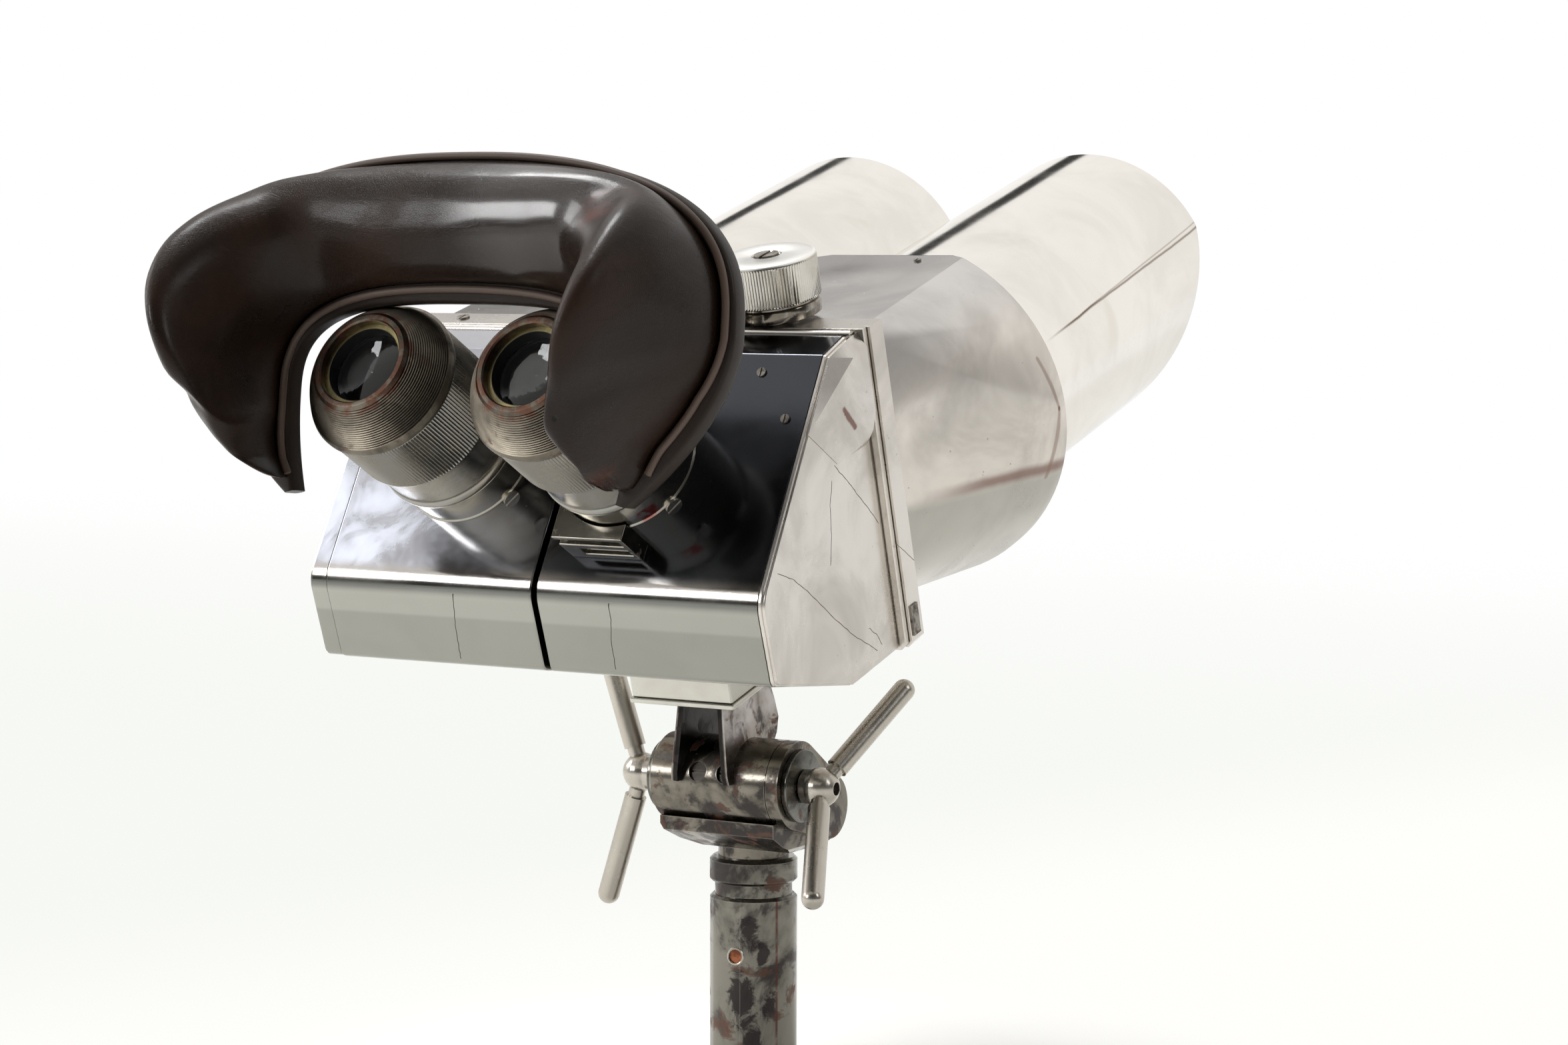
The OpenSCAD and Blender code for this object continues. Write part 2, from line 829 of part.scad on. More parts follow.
module objective_tube(right)
    color("black")
        on_tilt()
            side(right)
                translate([tube_u, 0, 0])
                    forward(-recess_l - seat_l + 2)
                        difference() {
                            union() {
                                cylinder(r = seat_r, h = seat_l);
                                translate([0, 0, seat_l - 2])
                                    cylinder(r = shade_r - shade_t - run - 1.6, h = recess_l + tube_out);
                                translate([0, 0, seat_l - 2 + recess_l + tube_out - 6])
                                    cylinder(r = shade_r - shade_t - run, h = 6);
                            }
                            translate([0, 0, -1])
                                cylinder(r = aperture_r - 2, h = through);
                            translate([0, 0, cell_v + recess_l + seat_l - 2])
                                cylinder(r = aperture_r + 4, h = through);
                        }

cell_v = tube_out - lens_t - 14;

module objective_cells()
    color("dimgray")
        on_tilt()
            for (right = [true, false])
                side(right)
                translate([tube_u, 0, 0])
                    difference() {
                        forward(cell_v)
                            cylinder(r = aperture_r + 4, h = lens_t + 5);
                        forward(cell_v - 1)
                            cylinder(r = aperture_r - 1, h = lens_t + 10);
                        forward(cell_v + 2)
                            cylinder(r = aperture_r + 1, h = lens_t + 10);
                    }

// A biconvex lens of radius r and centre thickness t, its rim thickness e, along z
function bulge(r, s, n = 7) =
    let (rs = (r * r + s * s) / (2 * s), a = asin(r / rs))
    [for (i = [0 : n]) [rs * sin(a * i / n), rs - rs * cos(a * i / n)]];
module lens(r, t, e) {
    low = bulge(r, (t - e) / 2);
    rotate_extrude()
        polygon(concat(low, [for (i = [7 : -1 : 0]) [low[i][0], t - low[i][1]]]));
}

module objective_lens(right)
    color("lightblue")
        on_tilt()
            side(right)
                translate([tube_u, 0, 0])
                    forward(cell_v + 2 - (lens_t - 4) / 2 + gap + 0.1)
                        lens(aperture_r + 1 - run, lens_t, 4);

// Prism: two faces square to the light and one along the eyepiece panel
module prism(right)
    color("lightcyan")
        on_tilt()
            side(right)
                across(half_gap + wall, tube_u + 18)
                    polygon([
                        [-rear_v + 30, -bend_w + 30 - 21.2],
                        [rib_v + 0.5, rib_v + 0.5 + rear_v - bend_w - 21.2],
                        [rib_v + 0.5, -30], [-rear_v + 30, -30]
                    ]);

// Filter drive

module filter_knob()
    color("lightgray")
        on_tilt()
            translate([knob_u, -knob_v, knob_foot_w])
                difference() {
                    rotate_extrude()
                        polygon([
                            [0, 0], [knob_r - 0.9, 0], [knob_r - 0.4, 0.6],
                            [knob_r - 0.4, knob_ring_h - 0.6], [knob_r - 1.2, knob_ring_h],
                            [knob_r - 1.2, knob_ring_h + 0.5], [knob_r, knob_ring_h + 0.9],
                            [knob_r, knob_h - 1.2], [knob_r - 1.2, knob_h], [0, knob_h]
                        ]);
                    translate([0, 0, -1])
                        cylinder(r = knob_shaft_r, h = 1 + knob_h - 4);
                    translate([0, 0, knob_h - 1.4])
                        cylinder(r = 4.4, h = 3);
                }

module knob_shaft()
    color("darkgray")
        on_tilt()
            translate([knob_u, -knob_v, wheel_w + wheel_r + 1.2])
                cylinder(
                    r = knob_shaft_r,
                    h = knob_foot_w + knob_h - 4 - wheel_w - wheel_r - 1.2
                );

module knob_screw()
    color("dimgray")
        on_tilt()
            translate([knob_u, -knob_v, knob_foot_w + knob_h - 1.4])
                difference() {
                    cylinder(r = 4.2, h = 1.8);
                    translate([-0.6, -6, 0.9])
                        cube([1.2, 12, 3]);
                }

module filter_wheel(right)
    color("dimgray")
        on_tilt()
            side(right)
                translate([tube_u, 0, wheel_w])
                    forward(-flange_v - wheel_t - gap)
                        difference() {
                            cylinder(r = wheel_r, h = wheel_t);
                            for (a = [0 : 90 : 270])
                                rotate([0, 0, a + 90])
                                    translate([wheel_w, 0, -1])
                                        cylinder(r = min(light_r - 2, wheel_r - wheel_w - 1.5), h = 20);
                            translate([0, 0, -1])
                                cylinder(r = 2 + run, h = 20);
                        }

module wheel_pins()
    color("darkgray")
        on_tilt()
            for (s = [-1, 1])
                translate([s * tube_u, 0, wheel_w])
                    forward(-flange_v - wheel_t - 2 * gap)
                        cylinder(r = 2, h = wheel_t + gap);

// Eyepieces

module eye_base(right)
    color("silver")
        on_tilt()
            side(right)
                at_eye()
                    difference() {
                        union() {
                            translate([0, 0, -wall])
                                cylinder(r = slide_r + 2 - run, h = wall + 1);
                            rotate_extrude()
                                polygon([
                                    [0, 0], [base_r, 0], [base_r, base_h * 0.52],
                                    [base_r - 0.5, base_h * 0.52 + 0.5],
                                    [base_r - 0.5, base_h - 1], [base_r - 1.5, base_h], [0, base_h]
                                ]);
                            translate([0, 0, base_h - 1])
                                cylinder(r = sleeve_r, h = ring_z1 - 5 - base_h + 1);
                        }
                        translate([0, 0, -20])
                            cylinder(r = slide_r + run, h = 140);
                        for (a = [-35, 215])
                            rotate([0, 0, a])
                                translate([base_r - 1, 0, base_h * 0.42])
                                    rotate([0, 90, 0])
                                        cylinder(r = base_screw_r, h = 4);
                    }

module focus_ring(right)
    color("lightgray")
        on_tilt()
            side(right)
                at_eye()
                    difference() {
                        rotate_extrude()
                            polygon([
                                [0, ring_z0], [ring_r - 1.4, ring_z0], [ring_r - 0.7, ring_z0 + 0.7],
                                [ring_r - 0.7, ring_z0 + 3], [ring_r - 1.6, ring_z0 + 3.6],
                                [ring_r - 1.2, ring_z1 - knurl_h - 0.8], [ring_r - 0.4, ring_z1 - knurl_h],
                                [ring_r, ring_z1 - knurl_h + 0.6], [ring_r, ring_z1 - 1],
                                [ring_r - 1, ring_z1], [0, ring_z1]
                            ]);
                        translate([0, 0, 0])
                            cylinder(r = sleeve_r + run, h = 140);
                    }

module eyecup(right)
    color("slategray")
        on_tilt()
            side(right)
                at_eye()
                    difference() {
                        rotate_extrude()
                            polygon([
                                [0, ring_z1], [ring_r - 0.2, ring_z1], [ring_r + 0.6, ring_z1 + 0.8],
                                [ring_r + 0.5, ring_z1 + 2.4], [cup_top_r + 0.4, cup_z1 - 0.6],
                                [cup_top_r - 0.6, cup_z1], [0, cup_z1]
                            ]);
                        translate([0, 0, 0])
                            cylinder(r = cup_bore_r + run, h = 140);
                        translate([0, 0, 0])
                            cylinder(r = sleeve_r + run, h = ring_z1 + 2);
                    }

module eye_cell(right)
    color("goldenrod")
        on_tilt()
            side(right)
                at_eye()
                    difference() {
                        union() {
                            translate([0, 0, -wall - 5])
                                cylinder(r = slide_r, h = wall + 5 + ring_z1 - 6);
                            translate([0, 0, ring_z1 - 12])
                                cylinder(r = cup_bore_r, h = 12 + cup_h - 3);
                        }
                        translate([0, 0, -20])
                            cylinder(r = eye_lens_r - 1, h = 140);
                        translate([0, 0, cup_z1 - eye_lens_deep - 5])
                            cylinder(r = eye_lens_r + run, h = 40);
                    }

module eye_lens(right)
    color("lightblue")
        on_tilt()
            side(right)
                at_eye()
                    translate([0, 0, cup_z1 - eye_lens_deep - 5 - 0.8])
                        lens(eye_lens_r, 4, 1.6);

module base_screws()
    color("goldenrod")
        on_tilt()
            for (s = [-1, 1], a = [-35, 215])
                mirror([s > 0 ? 0 : 1, 0, 0])
                    at_eye()
                        rotate([0, 0, a])
                            translate([base_r - 1, 0, base_h * 0.42])
                                rotate([0, 90, 0])
                                    difference() {
                                        cylinder(r = base_screw_r, h = 1.6);
                                        translate([-0.4, -5, 1])
                                            cube([0.8, 10, 2]);
                                    }

module slot_bracket()
    color("silver")
        on_tilt()
            at_eye()
                difference() {
                    translate([40.5 - eye_u - bracket_w, -base_r - bracket_l + 4, 0])
                        cube([bracket_w, bracket_l + 4, bracket_h]);
                    translate([0, 0, -1])
                        cylinder(r = base_r, h = 40);
                    translate([40.5 - eye_u - bracket_w - 1, -base_r - bracket_l + 3, bracket_h * 0.64])
                        cube([bracket_w - 1, 3.5, bracket_h * 0.24]);
                    translate([40.5 - eye_u - bracket_w + 7, -base_r - bracket_l + 3, bracket_h * 0.18])
                        cube([bracket_w - 9, 3, bracket_h * 0.3]);
                }

// Headrest

// Frame of the headrest: x across, y up its back, z the way it faces
module at_rest()
    rotate([90 - rest_angle, 0, 0])
        translate([0, 0, rest_s])
            children();

// Half outline stations: q from 0 at the brow to 1 at the widest level, then to 2 at the tip
function pow_s(x, n) = sign(x) * pow(abs(x), n);
function outer_at(q, m) =
    q <= 1
    ? [(rest_w - m) * pow(sin(90 * q), 0.84), rest_wide + (rest_top - m - rest_wide) * pow(cos(90 * q), 0.72)]
    : [rest_w - m - (tip_in - 0.4 * m) * pow(q - 1, 1.8), rest_wide + (rest_tip + m - rest_wide) * (q - 1)];
function inner_at(q, m) =
    q <= 1
    ? [(arch_w + m) * pow(sin(90 * q), 0.66), -15 + (arch_top + m + 15) * pow(cos(90 * q), 0.66)]
    : [arch_w + m - (4 + 0.2 * m) * pow(q - 1, 2), -15 + (rest_tip + 1 + m + 15) * (q - 1)];
function mix3(t) = let (c = max(0, min(1, t))) c * c * (3 - 2 * c);
// Insets of the cushion's foot from the outer and the inner edge of the band
function foot_share(q) = 1 - 0.65 * mix3((q - 1.7) / 0.25);
function foot_out(q) = (top_in + (pad_in - top_in) * pow(min(q / 1.4, 1), 2)) * foot_share(q);
function foot_in(q) = (pad_in - 3 * min(q / 0.8, 1) + 2 * mix3((q - 1) / 0.6)) * foot_share(q);
// Rounding of the lower tips: share of the height that is left
function tip_h(q) = q < 1.8 ? 1 : sqrt(max(0.04, 1 - pow((q - 1.8) / 0.2, 2)));
// Height of the cushion's temples at a level up the back, and of the crest at any place
function temple_at(y) =
    let (m = rest_wide - 7, span = y > m ? rest_top - 9 : m - rest_tip)
    temple_h * (1 - pow(min(1, abs(y - m) / span), 2.4));
function pad_height(x, y) =
    let (m = mix3((abs(x) - arch_w + 22) / 34), t = max(y > 0 ? brow_h * 0.8 : 3, temple_at(y)))
    brow_h + (t - brow_h) * m;
// Place of the crest across the cushion: 0 over its inner foot, 1 over its outer foot
function crest_at(q) =
    q <= 0.5 ? 0.5 + 0.25 * mix3(2 * q)
    : q <= 1.2 ? 0.75 - 0.87 * mix3((q - 0.5) / 0.7)
    : -0.12 - 0.14 * mix3((q - 1.2) / 0.7);

// Stations along the whole horseshoe, from the left tip over the brow to the right tip
half_q = concat([for (i = [0 : 15]) i / 8], [1.93, 1.97, 2]);
station_q = concat([for (i = [len(half_q) - 1 : -1 : 1]) -half_q[i]], half_q);

// Surface of a row of equal rings, closed at both ends by fans
module skin_rings(rings) {
    n = len(rings[0]);
    m = len(rings);
    pts = [for (r = rings) each r];
    sides = [for (i = [0 : m - 2], j = [0 : n - 1])
        let (a = i * n + j, b = i * n + (j + 1) % n)
        each [[a, b, b + n], [a, b + n, a + n]]];
    caps = concat(
        [for (j = [1 : n - 2]) [0, j + 1, j]],
        [for (j = [1 : n - 2]) let (o = (m - 1) * n) [o, o + j, o + j + 1]]
    );
    polyhedron(points = pts, faces = concat(sides, caps));
}

function flip(p, s) = [s * p[0], p[1], p[2]];

function band_ring(q, z0, z1, m) =
    let (s = q < 0 ? -1 : 1, o = outer_at(abs(q), m), i = inner_at(abs(q), m), r = 1.2,
        d = (o - i) / norm(o - i) * r,
        ring = [
            [i[0], i[1], z0 + r], [i[0] + d[0], i[1] + d[1], z0],
            [o[0] - d[0], o[1] - d[1], z0], [o[0], o[1], z0 + r],
            [o[0], o[1], z1 - r], [o[0] - d[0], o[1] - d[1], z1],
            [i[0] + d[0], i[1] + d[1], z1], [i[0], i[1], z1 - r]
        ],
        f = [for (p = ring) flip(p, s)])
    [for (k = [0 : 7]) f[7 - k]];

pad_steps = 11;
function pad_ring(q) =
    let (s = q < 0 ? -1 : 1, a = min(abs(q), 1.7 + 0.75 * (abs(q) - 1.7)), w = tip_h(abs(q)),
        i = inner_at(a, foot_in(a)), d = outer_at(a, foot_out(a)) - i,
        c = crest_at(a), top = i + d * c, h = pad_height(top[0], top[1]))
    [for (k = [0 : pad_steps])
        let (u = -cos(180 * k / pad_steps), z = sqrt(max(0, 1 - pow(abs(u), 2.4))),
            x = 0.5 + 0.5 * u + (c - 0.5) * z, p = i + d * x, f = i + d * max(0, x))
        flip([p[0], p[1], band_t + (h + pad_height(f[0], f[1])) / 2 * z * sqrt(w)], s)];

module headrest_pad()
    color("saddlebrown")
        on_tilt()
            at_rest()
                skin_rings([for (q = station_q) pad_ring(q)]);

module headrest_band()
    color("saddlebrown")
        on_tilt()
            at_rest()
                skin_rings([for (q = station_q) band_ring(q, 0, band_t, 0)]);

// Distance of the welt's middle line from the cushion's foot
welt_gap = welt_r + 1;

// Welt: a cord laid along the cushion's foot, on the outer and the inner side
function welt_side(out) =
    [for (q = station_q) if (abs(q) < 1.8)
        let (a = abs(q), p = out ? outer_at(a, foot_out(a) - welt_gap)
            : inner_at(a, foot_in(a) - welt_gap - mix3((a - 1) / 0.6)))
        [(q < 0 ? -1 : 1) * p[0], p[1], band_t + welt_r]];
function tube_ring(p, d) =
    let (t = [d[0], d[1], 0] / norm([d[0], d[1]]), n = [-t[1], t[0], 0])
    [for (k = [0 : 5]) p + welt_r * (cos(60 * k) * n + sin(60 * k) * [0, 0, 1])];
module welt_cord(pts) {
    n = len(pts);
    skin_rings([for (i = [0 : n - 1])
        tube_ring(pts[i], pts[min(i + 1, n - 1)] - pts[max(i - 1, 0)])]);
}

module headrest_welt()
    color("black")
        on_tilt()
            at_rest() {
                welt_cord(welt_side(true));
                welt_cord(welt_side(false));
            }

stem_y = arch_top + 14.4;
module headrest_plate()
    color("dimgray")
        on_tilt()
            at_rest()
                translate([-30, stem_y - 12, -3])
                    cube([60, rest_top - stem_y + 2, 3]);

clamp_w = top_w;
stem_end = 100 + rest_slide;
module headrest_stem()
    color("dimgray")
        on_tilt()
            at_rest()
                translate([-stem_w / 2, stem_y - stem_t / 2, -stem_end])
                    cube([stem_w, stem_t, stem_end - 3]);

module headrest_clamp()
    color("silver")
        on_tilt()
            difference() {
                translate([-stem_w / 2 - 7, rib_v + 2 * bead_r + 0.5, clamp_w])
                    cube([stem_w + 14, 20, 29]);
                at_rest()
                    translate([-stem_w / 2 - run, stem_y - stem_t / 2 - run, -200])
                        cube([stem_w + 2 * run, stem_t + 2 * run, 190]);
                translate([stem_w / 2 - 1, rib_v + 2 * bead_r + 10.5, clamp_w + clamp_screw_h])
                    rotate([0, 90, 0])
                        cylinder(r = 2.5 + run, h = 20);
            }

module clamp_thumbscrew()
    color("lightgray")
        on_tilt()
            translate([stem_w / 2 + run + 0.1, rib_v + 2 * bead_r + 10.5, clamp_w + clamp_screw_h])
                rotate([0, 90, 0])
                    union() {
                        cylinder(r = 2.5, h = 10);
                        translate([0, 0, 7.4])
                            cylinder(r = 6, h = 5);
                    }

// Small screws: on the left flange, on the drums' rims and on the panels
module cover_screws()
    color("dimgray")
        on_tilt() {
            translate([-76, -flange_v - flange_t / 2, flange_top_w])
                small_screw();
            for (right = [true, false])
                side(right) {
                    translate([tube_u + 14.5, -7.5, drum_top_w])
                        small_screw(screw_r * 0.6);
                    for (p = [[66.5, 84.6], [80.5, 67.4]])
                        translate([p[0], -rear_v + p[1] * k45, -bend_w + p[1] * k45])
                            rotate([45, 0, 0])
                                small_screw(screw_r * 0.7);
                }
        }

module small_screw(r = screw_r)
    difference() {
        cylinder(r = r, h = 0.7);
        translate([-0.3, -5, 0.35])
            cube([0.6, 10, 2]);
    }

// Latch plate at the right flange's lower outer corner
module corner_latch()
    color("dimgray")
        on_tilt()
            translate([flange_u, -flange_v - flange_t + 4, -bottom_w + 4])
                cube([0.6, 5, 11]);

module headrest_support() {
    headrest_plate();
    headrest_stem();
}

post();
post_plug();
tilt_head();
tilt_bolt();
friction_washers();
clamp_hub_right();
clamp_arms_right();
clamp_hub_left();
clamp_arms_left();
tilt_barrel();
fork();
fork_screws();
foot_block();
foot_plate();
prism_housing(true);  // prism_housing_right
prism_housing(false);  // prism_housing_left
side_plate(true);  // side_plate_right
side_plate(false);  // side_plate_left
ear_covers();
flange(true);  // flange_right
flange(false);  // flange_left
top_ribs();
drum(true);  // drum_right
drum(false);  // drum_left
seal_rings();
sunshade(true);  // sunshade_right
sunshade(false);  // sunshade_left
objective_tube(true);  // objective_tube_right
objective_tube(false);  // objective_tube_left
objective_cells();
objective_lens(true);  // objective_lens_right
objective_lens(false);  // objective_lens_left
prism(true);  // prism_right
prism(false);  // prism_left
filter_knob();
knob_shaft();
knob_screw();
filter_wheel(true);  // filter_wheel_right
filter_wheel(false);  // filter_wheel_left
wheel_pins();
eye_base(true);  // eye_base_right
eye_base(false);  // eye_base_left
focus_ring(true);  // focus_ring_right
focus_ring(false);  // focus_ring_left
eyecup(true);  // eyecup_right
eyecup(false);  // eyecup_left
eye_cell(true);  // eye_cell_right
eye_cell(false);  // eye_cell_left
eye_lens(true);  // eye_lens_right
eye_lens(false);  // eye_lens_left
base_screws();
slot_bracket();
headrest_pad();
headrest_band();
headrest_welt();
headrest_support();
headrest_clamp();
clamp_thumbscrew();
cover_screws();
corner_latch();
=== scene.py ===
"""Dresses the mounted binoculars: finishes for every piece, finely turned and knurled rings,
rounded housings and a leather headrest, on a pale floor in soft studio light."""

import json
import logging
import math
from dataclasses import dataclass
from enum import Enum
from typing import Any, Callable, Sequence, Union

import bmesh
import bpy
from mathutils import Matrix, Vector, noise

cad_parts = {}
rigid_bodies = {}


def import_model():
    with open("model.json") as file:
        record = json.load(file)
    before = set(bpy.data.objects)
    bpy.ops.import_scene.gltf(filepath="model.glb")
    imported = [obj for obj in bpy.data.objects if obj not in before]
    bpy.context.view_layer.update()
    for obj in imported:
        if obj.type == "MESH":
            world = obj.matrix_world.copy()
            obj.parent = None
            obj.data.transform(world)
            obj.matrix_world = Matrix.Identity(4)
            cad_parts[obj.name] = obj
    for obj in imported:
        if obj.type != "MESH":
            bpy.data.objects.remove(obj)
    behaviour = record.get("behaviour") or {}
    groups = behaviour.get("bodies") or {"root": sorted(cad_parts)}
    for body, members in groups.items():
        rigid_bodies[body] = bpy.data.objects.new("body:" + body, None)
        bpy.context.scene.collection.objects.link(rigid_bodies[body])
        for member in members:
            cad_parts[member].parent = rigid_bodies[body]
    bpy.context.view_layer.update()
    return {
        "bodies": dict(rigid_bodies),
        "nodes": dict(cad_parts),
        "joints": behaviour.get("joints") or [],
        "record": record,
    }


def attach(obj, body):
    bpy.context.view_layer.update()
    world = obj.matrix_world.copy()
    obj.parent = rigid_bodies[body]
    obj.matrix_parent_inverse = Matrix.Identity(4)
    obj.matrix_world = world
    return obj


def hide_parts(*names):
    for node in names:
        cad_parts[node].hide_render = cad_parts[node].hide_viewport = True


LOG = logging.getLogger("binoculars")
MM = 0.001
Colour = tuple[float, float, float]
Point = tuple[float, float, float]
Line = tuple[tuple[float, float], ...]
Lines = tuple[Line, ...]
Term = Union["Value", float]
Ridge = Callable[[float, float, float], float]


# Places on the body, in millimetres from the point between the drums' faces

EYE_X, EYE_UP = 32.6, 43.9
REAR_V, PANEL_W = -180.0, -9.0
TUBE_X = 55.0
KNOB_FOOT = (51.4, -81.6, 59.7)

# The photograph's camera, in metres and in its pixels

CAMERA_AT = (0.668957, -1.136928, 0.317941)
CAMERA_RIGHT, CAMERA_BACK = (0.8660, 0.5000, 0.0027), (0.4984, -0.8635, 0.0767)
FOCAL_PX, PICTURE_PX, SENSOR = 5285.8, 2352.0, 36.0

# Frames of the object, in metres, with angles in degrees

REST_PITCH = 16.3
SCOPE = Matrix.Translation((0, 0.0214585, 0.2620365)) @ Matrix.Rotation(math.radians(REST_PITCH), 4, "X")
REST = SCOPE @ Matrix.Rotation(math.radians(68), 4, "X") @ Matrix.Translation((0, 0, 0.207))
TILT = Matrix.Translation((0, -0.0195, 0.1217))
WORLD = Matrix.Identity(4)


def eye_place(side: int) -> Matrix:
    """Frame of an eyepiece, z along its axis from the panel.

    Args:
        side: 1 for the observer's right, -1 for the left.

    Returns:
        The frame in the row's metres.
    """
    up = EYE_UP * math.sqrt(0.5)
    foot = Matrix.Translation((side * EYE_X * MM, (REAR_V + up) * MM, (PANEL_W + up) * MM))
    return SCOPE @ foot @ Matrix.Rotation(math.radians(45), 4, "X")


def knob_place() -> Matrix:
    """Frame of the filter knob, z up its axis from its foot."""
    return SCOPE @ Matrix.Translation(Vector(KNOB_FOOT) * MM)


def tube_place(side: int) -> Matrix:
    """Frame of a tube, z along its optical axis from the drum's face."""
    return SCOPE @ Matrix.Translation((side * TUBE_X * MM, 0, 0)) @ Matrix.Rotation(math.radians(-90), 4, "X")


# Shader maths


class Value:
    """A number in a shader: wraps a socket, and sums of it add Math nodes."""

    def __init__(self, graph: "Graph", socket: bpy.types.NodeSocket) -> None:
        """Wraps a socket.

        Args:
            graph: The node graph of the socket.
            socket: An output socket that carries a number.
        """
        self.graph = graph
        self.socket = socket

    def _with(self, operation: str, *terms: Term) -> "Value":
        """Adds a Math node that takes these terms."""
        return self.graph.maths(operation, *terms)

    def __add__(self, other: Term) -> "Value":
        """Sum."""
        return self._with("ADD", self, other)

    __radd__ = __add__

    def __sub__(self, other: Term) -> "Value":
        """Difference."""
        return self._with("SUBTRACT", self, other)

    def __rsub__(self, other: Term) -> "Value":
        """Reflected difference."""
        return self._with("SUBTRACT", other, self)

    def __mul__(self, other: Term) -> "Value":
        """Product."""
        return self._with("MULTIPLY", self, other)

    __rmul__ = __mul__

    def __truediv__(self, other: Term) -> "Value":
        """Quotient."""
        return self._with("DIVIDE", self, other)

    def __pow__(self, other: Term) -> "Value":
        """Power."""
        return self._with("POWER", self, other)

    def __neg__(self) -> "Value":
        """Negative."""
        return self._with("MULTIPLY", self, -1.0)

    def __abs__(self) -> "Value":
        """Absolute value."""
        return self._with("ABSOLUTE", self)


class Graph:
    """The node graph of one finish, around a Principled shader."""

    def __init__(self, name: str) -> None:
        """Starts an empty material with a Principled shader and its output."""
        self.material = bpy.data.materials.new(name)
        self.material.use_nodes = True
        self.tree = self.material.node_tree
        self.tree.nodes.clear()
        self.output = self.tree.nodes.new("ShaderNodeOutputMaterial")
        self.shader = self.tree.nodes.new("ShaderNodeBsdfPrincipled")
        self.tree.links.new(self.shader.outputs[0], self.output.inputs[0])
        self._coords: bpy.types.NodeSocket | None = None

    @classmethod
    def of_world(cls, world: bpy.types.World) -> "Graph":
        """Starts the empty graph of a world, which has no Principled shader."""
        made = cls.__new__(cls)
        world.use_nodes = True
        made.tree, made._coords = world.node_tree, None
        made.tree.nodes.clear()
        return made

    def node(self, kind: str, settings: dict[str, Any] | None = None,
             inputs: dict[Any, Any] | None = None) -> bpy.types.Node:
        """Adds any node.

        Args:
            kind: The node's type.
            settings: Its own settings, which are set first.
            inputs: Values or links of its sockets, by name or number.

        Returns:
            The new node.
        """
        made = self.tree.nodes.new(kind)
        for key, value in (settings or {}).items():
            setattr(made, key, value)
        for key, value in (inputs or {}).items():
            self.feed(made.inputs[key], value)
        return made

    def feed(self, socket: bpy.types.NodeSocket, value: Any) -> None:
        """Links or sets one input socket."""
        if isinstance(value, Value):
            value = value.socket
        if isinstance(value, bpy.types.NodeSocket):
            self.tree.links.new(value, socket)
        elif isinstance(value, (tuple, list)) and len(value) == 3 and socket.type == "RGBA":
            socket.default_value = (*value, 1)
        else:
            socket.default_value = value

    def maths(self, operation: str, *terms: Term, clamp: bool = False) -> Value:
        """Adds a Math node.

        Args:
            operation: Blender's name of the operation.
            terms: One to three values or numbers.
            clamp: Whether the result is kept from 0 to 1.

        Returns:
            The result.
        """
        made = self.node("ShaderNodeMath", {"operation": operation, "use_clamp": clamp},
                         dict(enumerate(terms)))
        return Value(self, made.outputs[0])

    def coords(self) -> bpy.types.NodeSocket:
        """Object coordinates, in metres in the row's frame."""
        if self._coords is None:
            self._coords = self.node("ShaderNodeTexCoord").outputs["Object"]
        return self._coords

    def local(self, place: Matrix) -> tuple[Value, Value, Value]:
        """Coordinates in a frame of the object.

        Args:
            place: The frame, in metres.

        Returns:
            x, y and z in millimetres.
        """
        shifted = self.node("ShaderNodeVectorMath", {"operation": "SUBTRACT"},
                            {0: self.coords(), 1: tuple(place.translation)})
        found = []
        for k in range(3):
            axis = tuple(place.to_3x3().col[k] * 1000)
            dot = self.node("ShaderNodeVectorMath", {"operation": "DOT_PRODUCT"},
                            {0: shifted.outputs[0], 1: axis})
            found.append(Value(self, dot.outputs["Value"]))
        return found[0], found[1], found[2]

    def distance(self, *parts: Value) -> Value:
        """Length of a vector from its parts."""
        total = parts[0] * parts[0]
        for part in parts[1:]:
            total = total + part * part
        return self.maths("SQRT", total)

    def degrees(self, y: Value, x: Value) -> Value:
        """Angle of a direction, counted from x towards y."""
        return self.maths("ARCTAN2", y, x) * (180 / math.pi)

    def vector(self, x: Term, y: Term, z: Term) -> bpy.types.NodeSocket:
        """Joins three numbers into a vector."""
        return self.node("ShaderNodeCombineXYZ", None, {0: x, 1: y, 2: z}).outputs[0]

    def noise(self, scale: float, detail: float = 3.0, rough: float = 0.55, bend: float = 0.0,
              at: Any = None) -> Value:
        """Soft noise from 0 to 1.

        Args:
            scale: Waves per metre, or per unit of the vector.
            detail: Octaves.
            rough: Weight of the fine octaves.
            bend: Distortion.
            at: Vector to read it at, or none for the object's own.

        Returns:
            The noise.
        """
        made = self.node("ShaderNodeTexNoise", None, {
            "Vector": at or self.coords(), "Scale": scale, "Detail": detail,
            "Roughness": rough, "Distortion": bend})
        return Value(self, made.outputs[0])

    def cells(self, scale: float, feature: str = "F1") -> Value:
        """Distance from cell points or edges, for pits and grain."""
        made = self.node("ShaderNodeTexVoronoi", {"feature": feature},
                         {"Vector": self.coords(), "Scale": scale})
        return Value(self, made.outputs["Distance"])

    def step(self, value: Term, low: float, high: float) -> Value:
        """Smooth step from 0 at low to 1 at high, which may be the smaller."""
        made = self.node("ShaderNodeMapRange", {"interpolation_type": "SMOOTHSTEP"},
                         {0: value, 1: low, 2: high, 3: 0.0, 4: 1.0})
        return Value(self, made.outputs[0])

    def within(self, value: Value, low: float, high: float, soft: float) -> Value:
        """Mask of the values between two, with soft ends."""
        return self.step(value, low - soft, low + soft) * self.step(value, high + soft, high - soft)

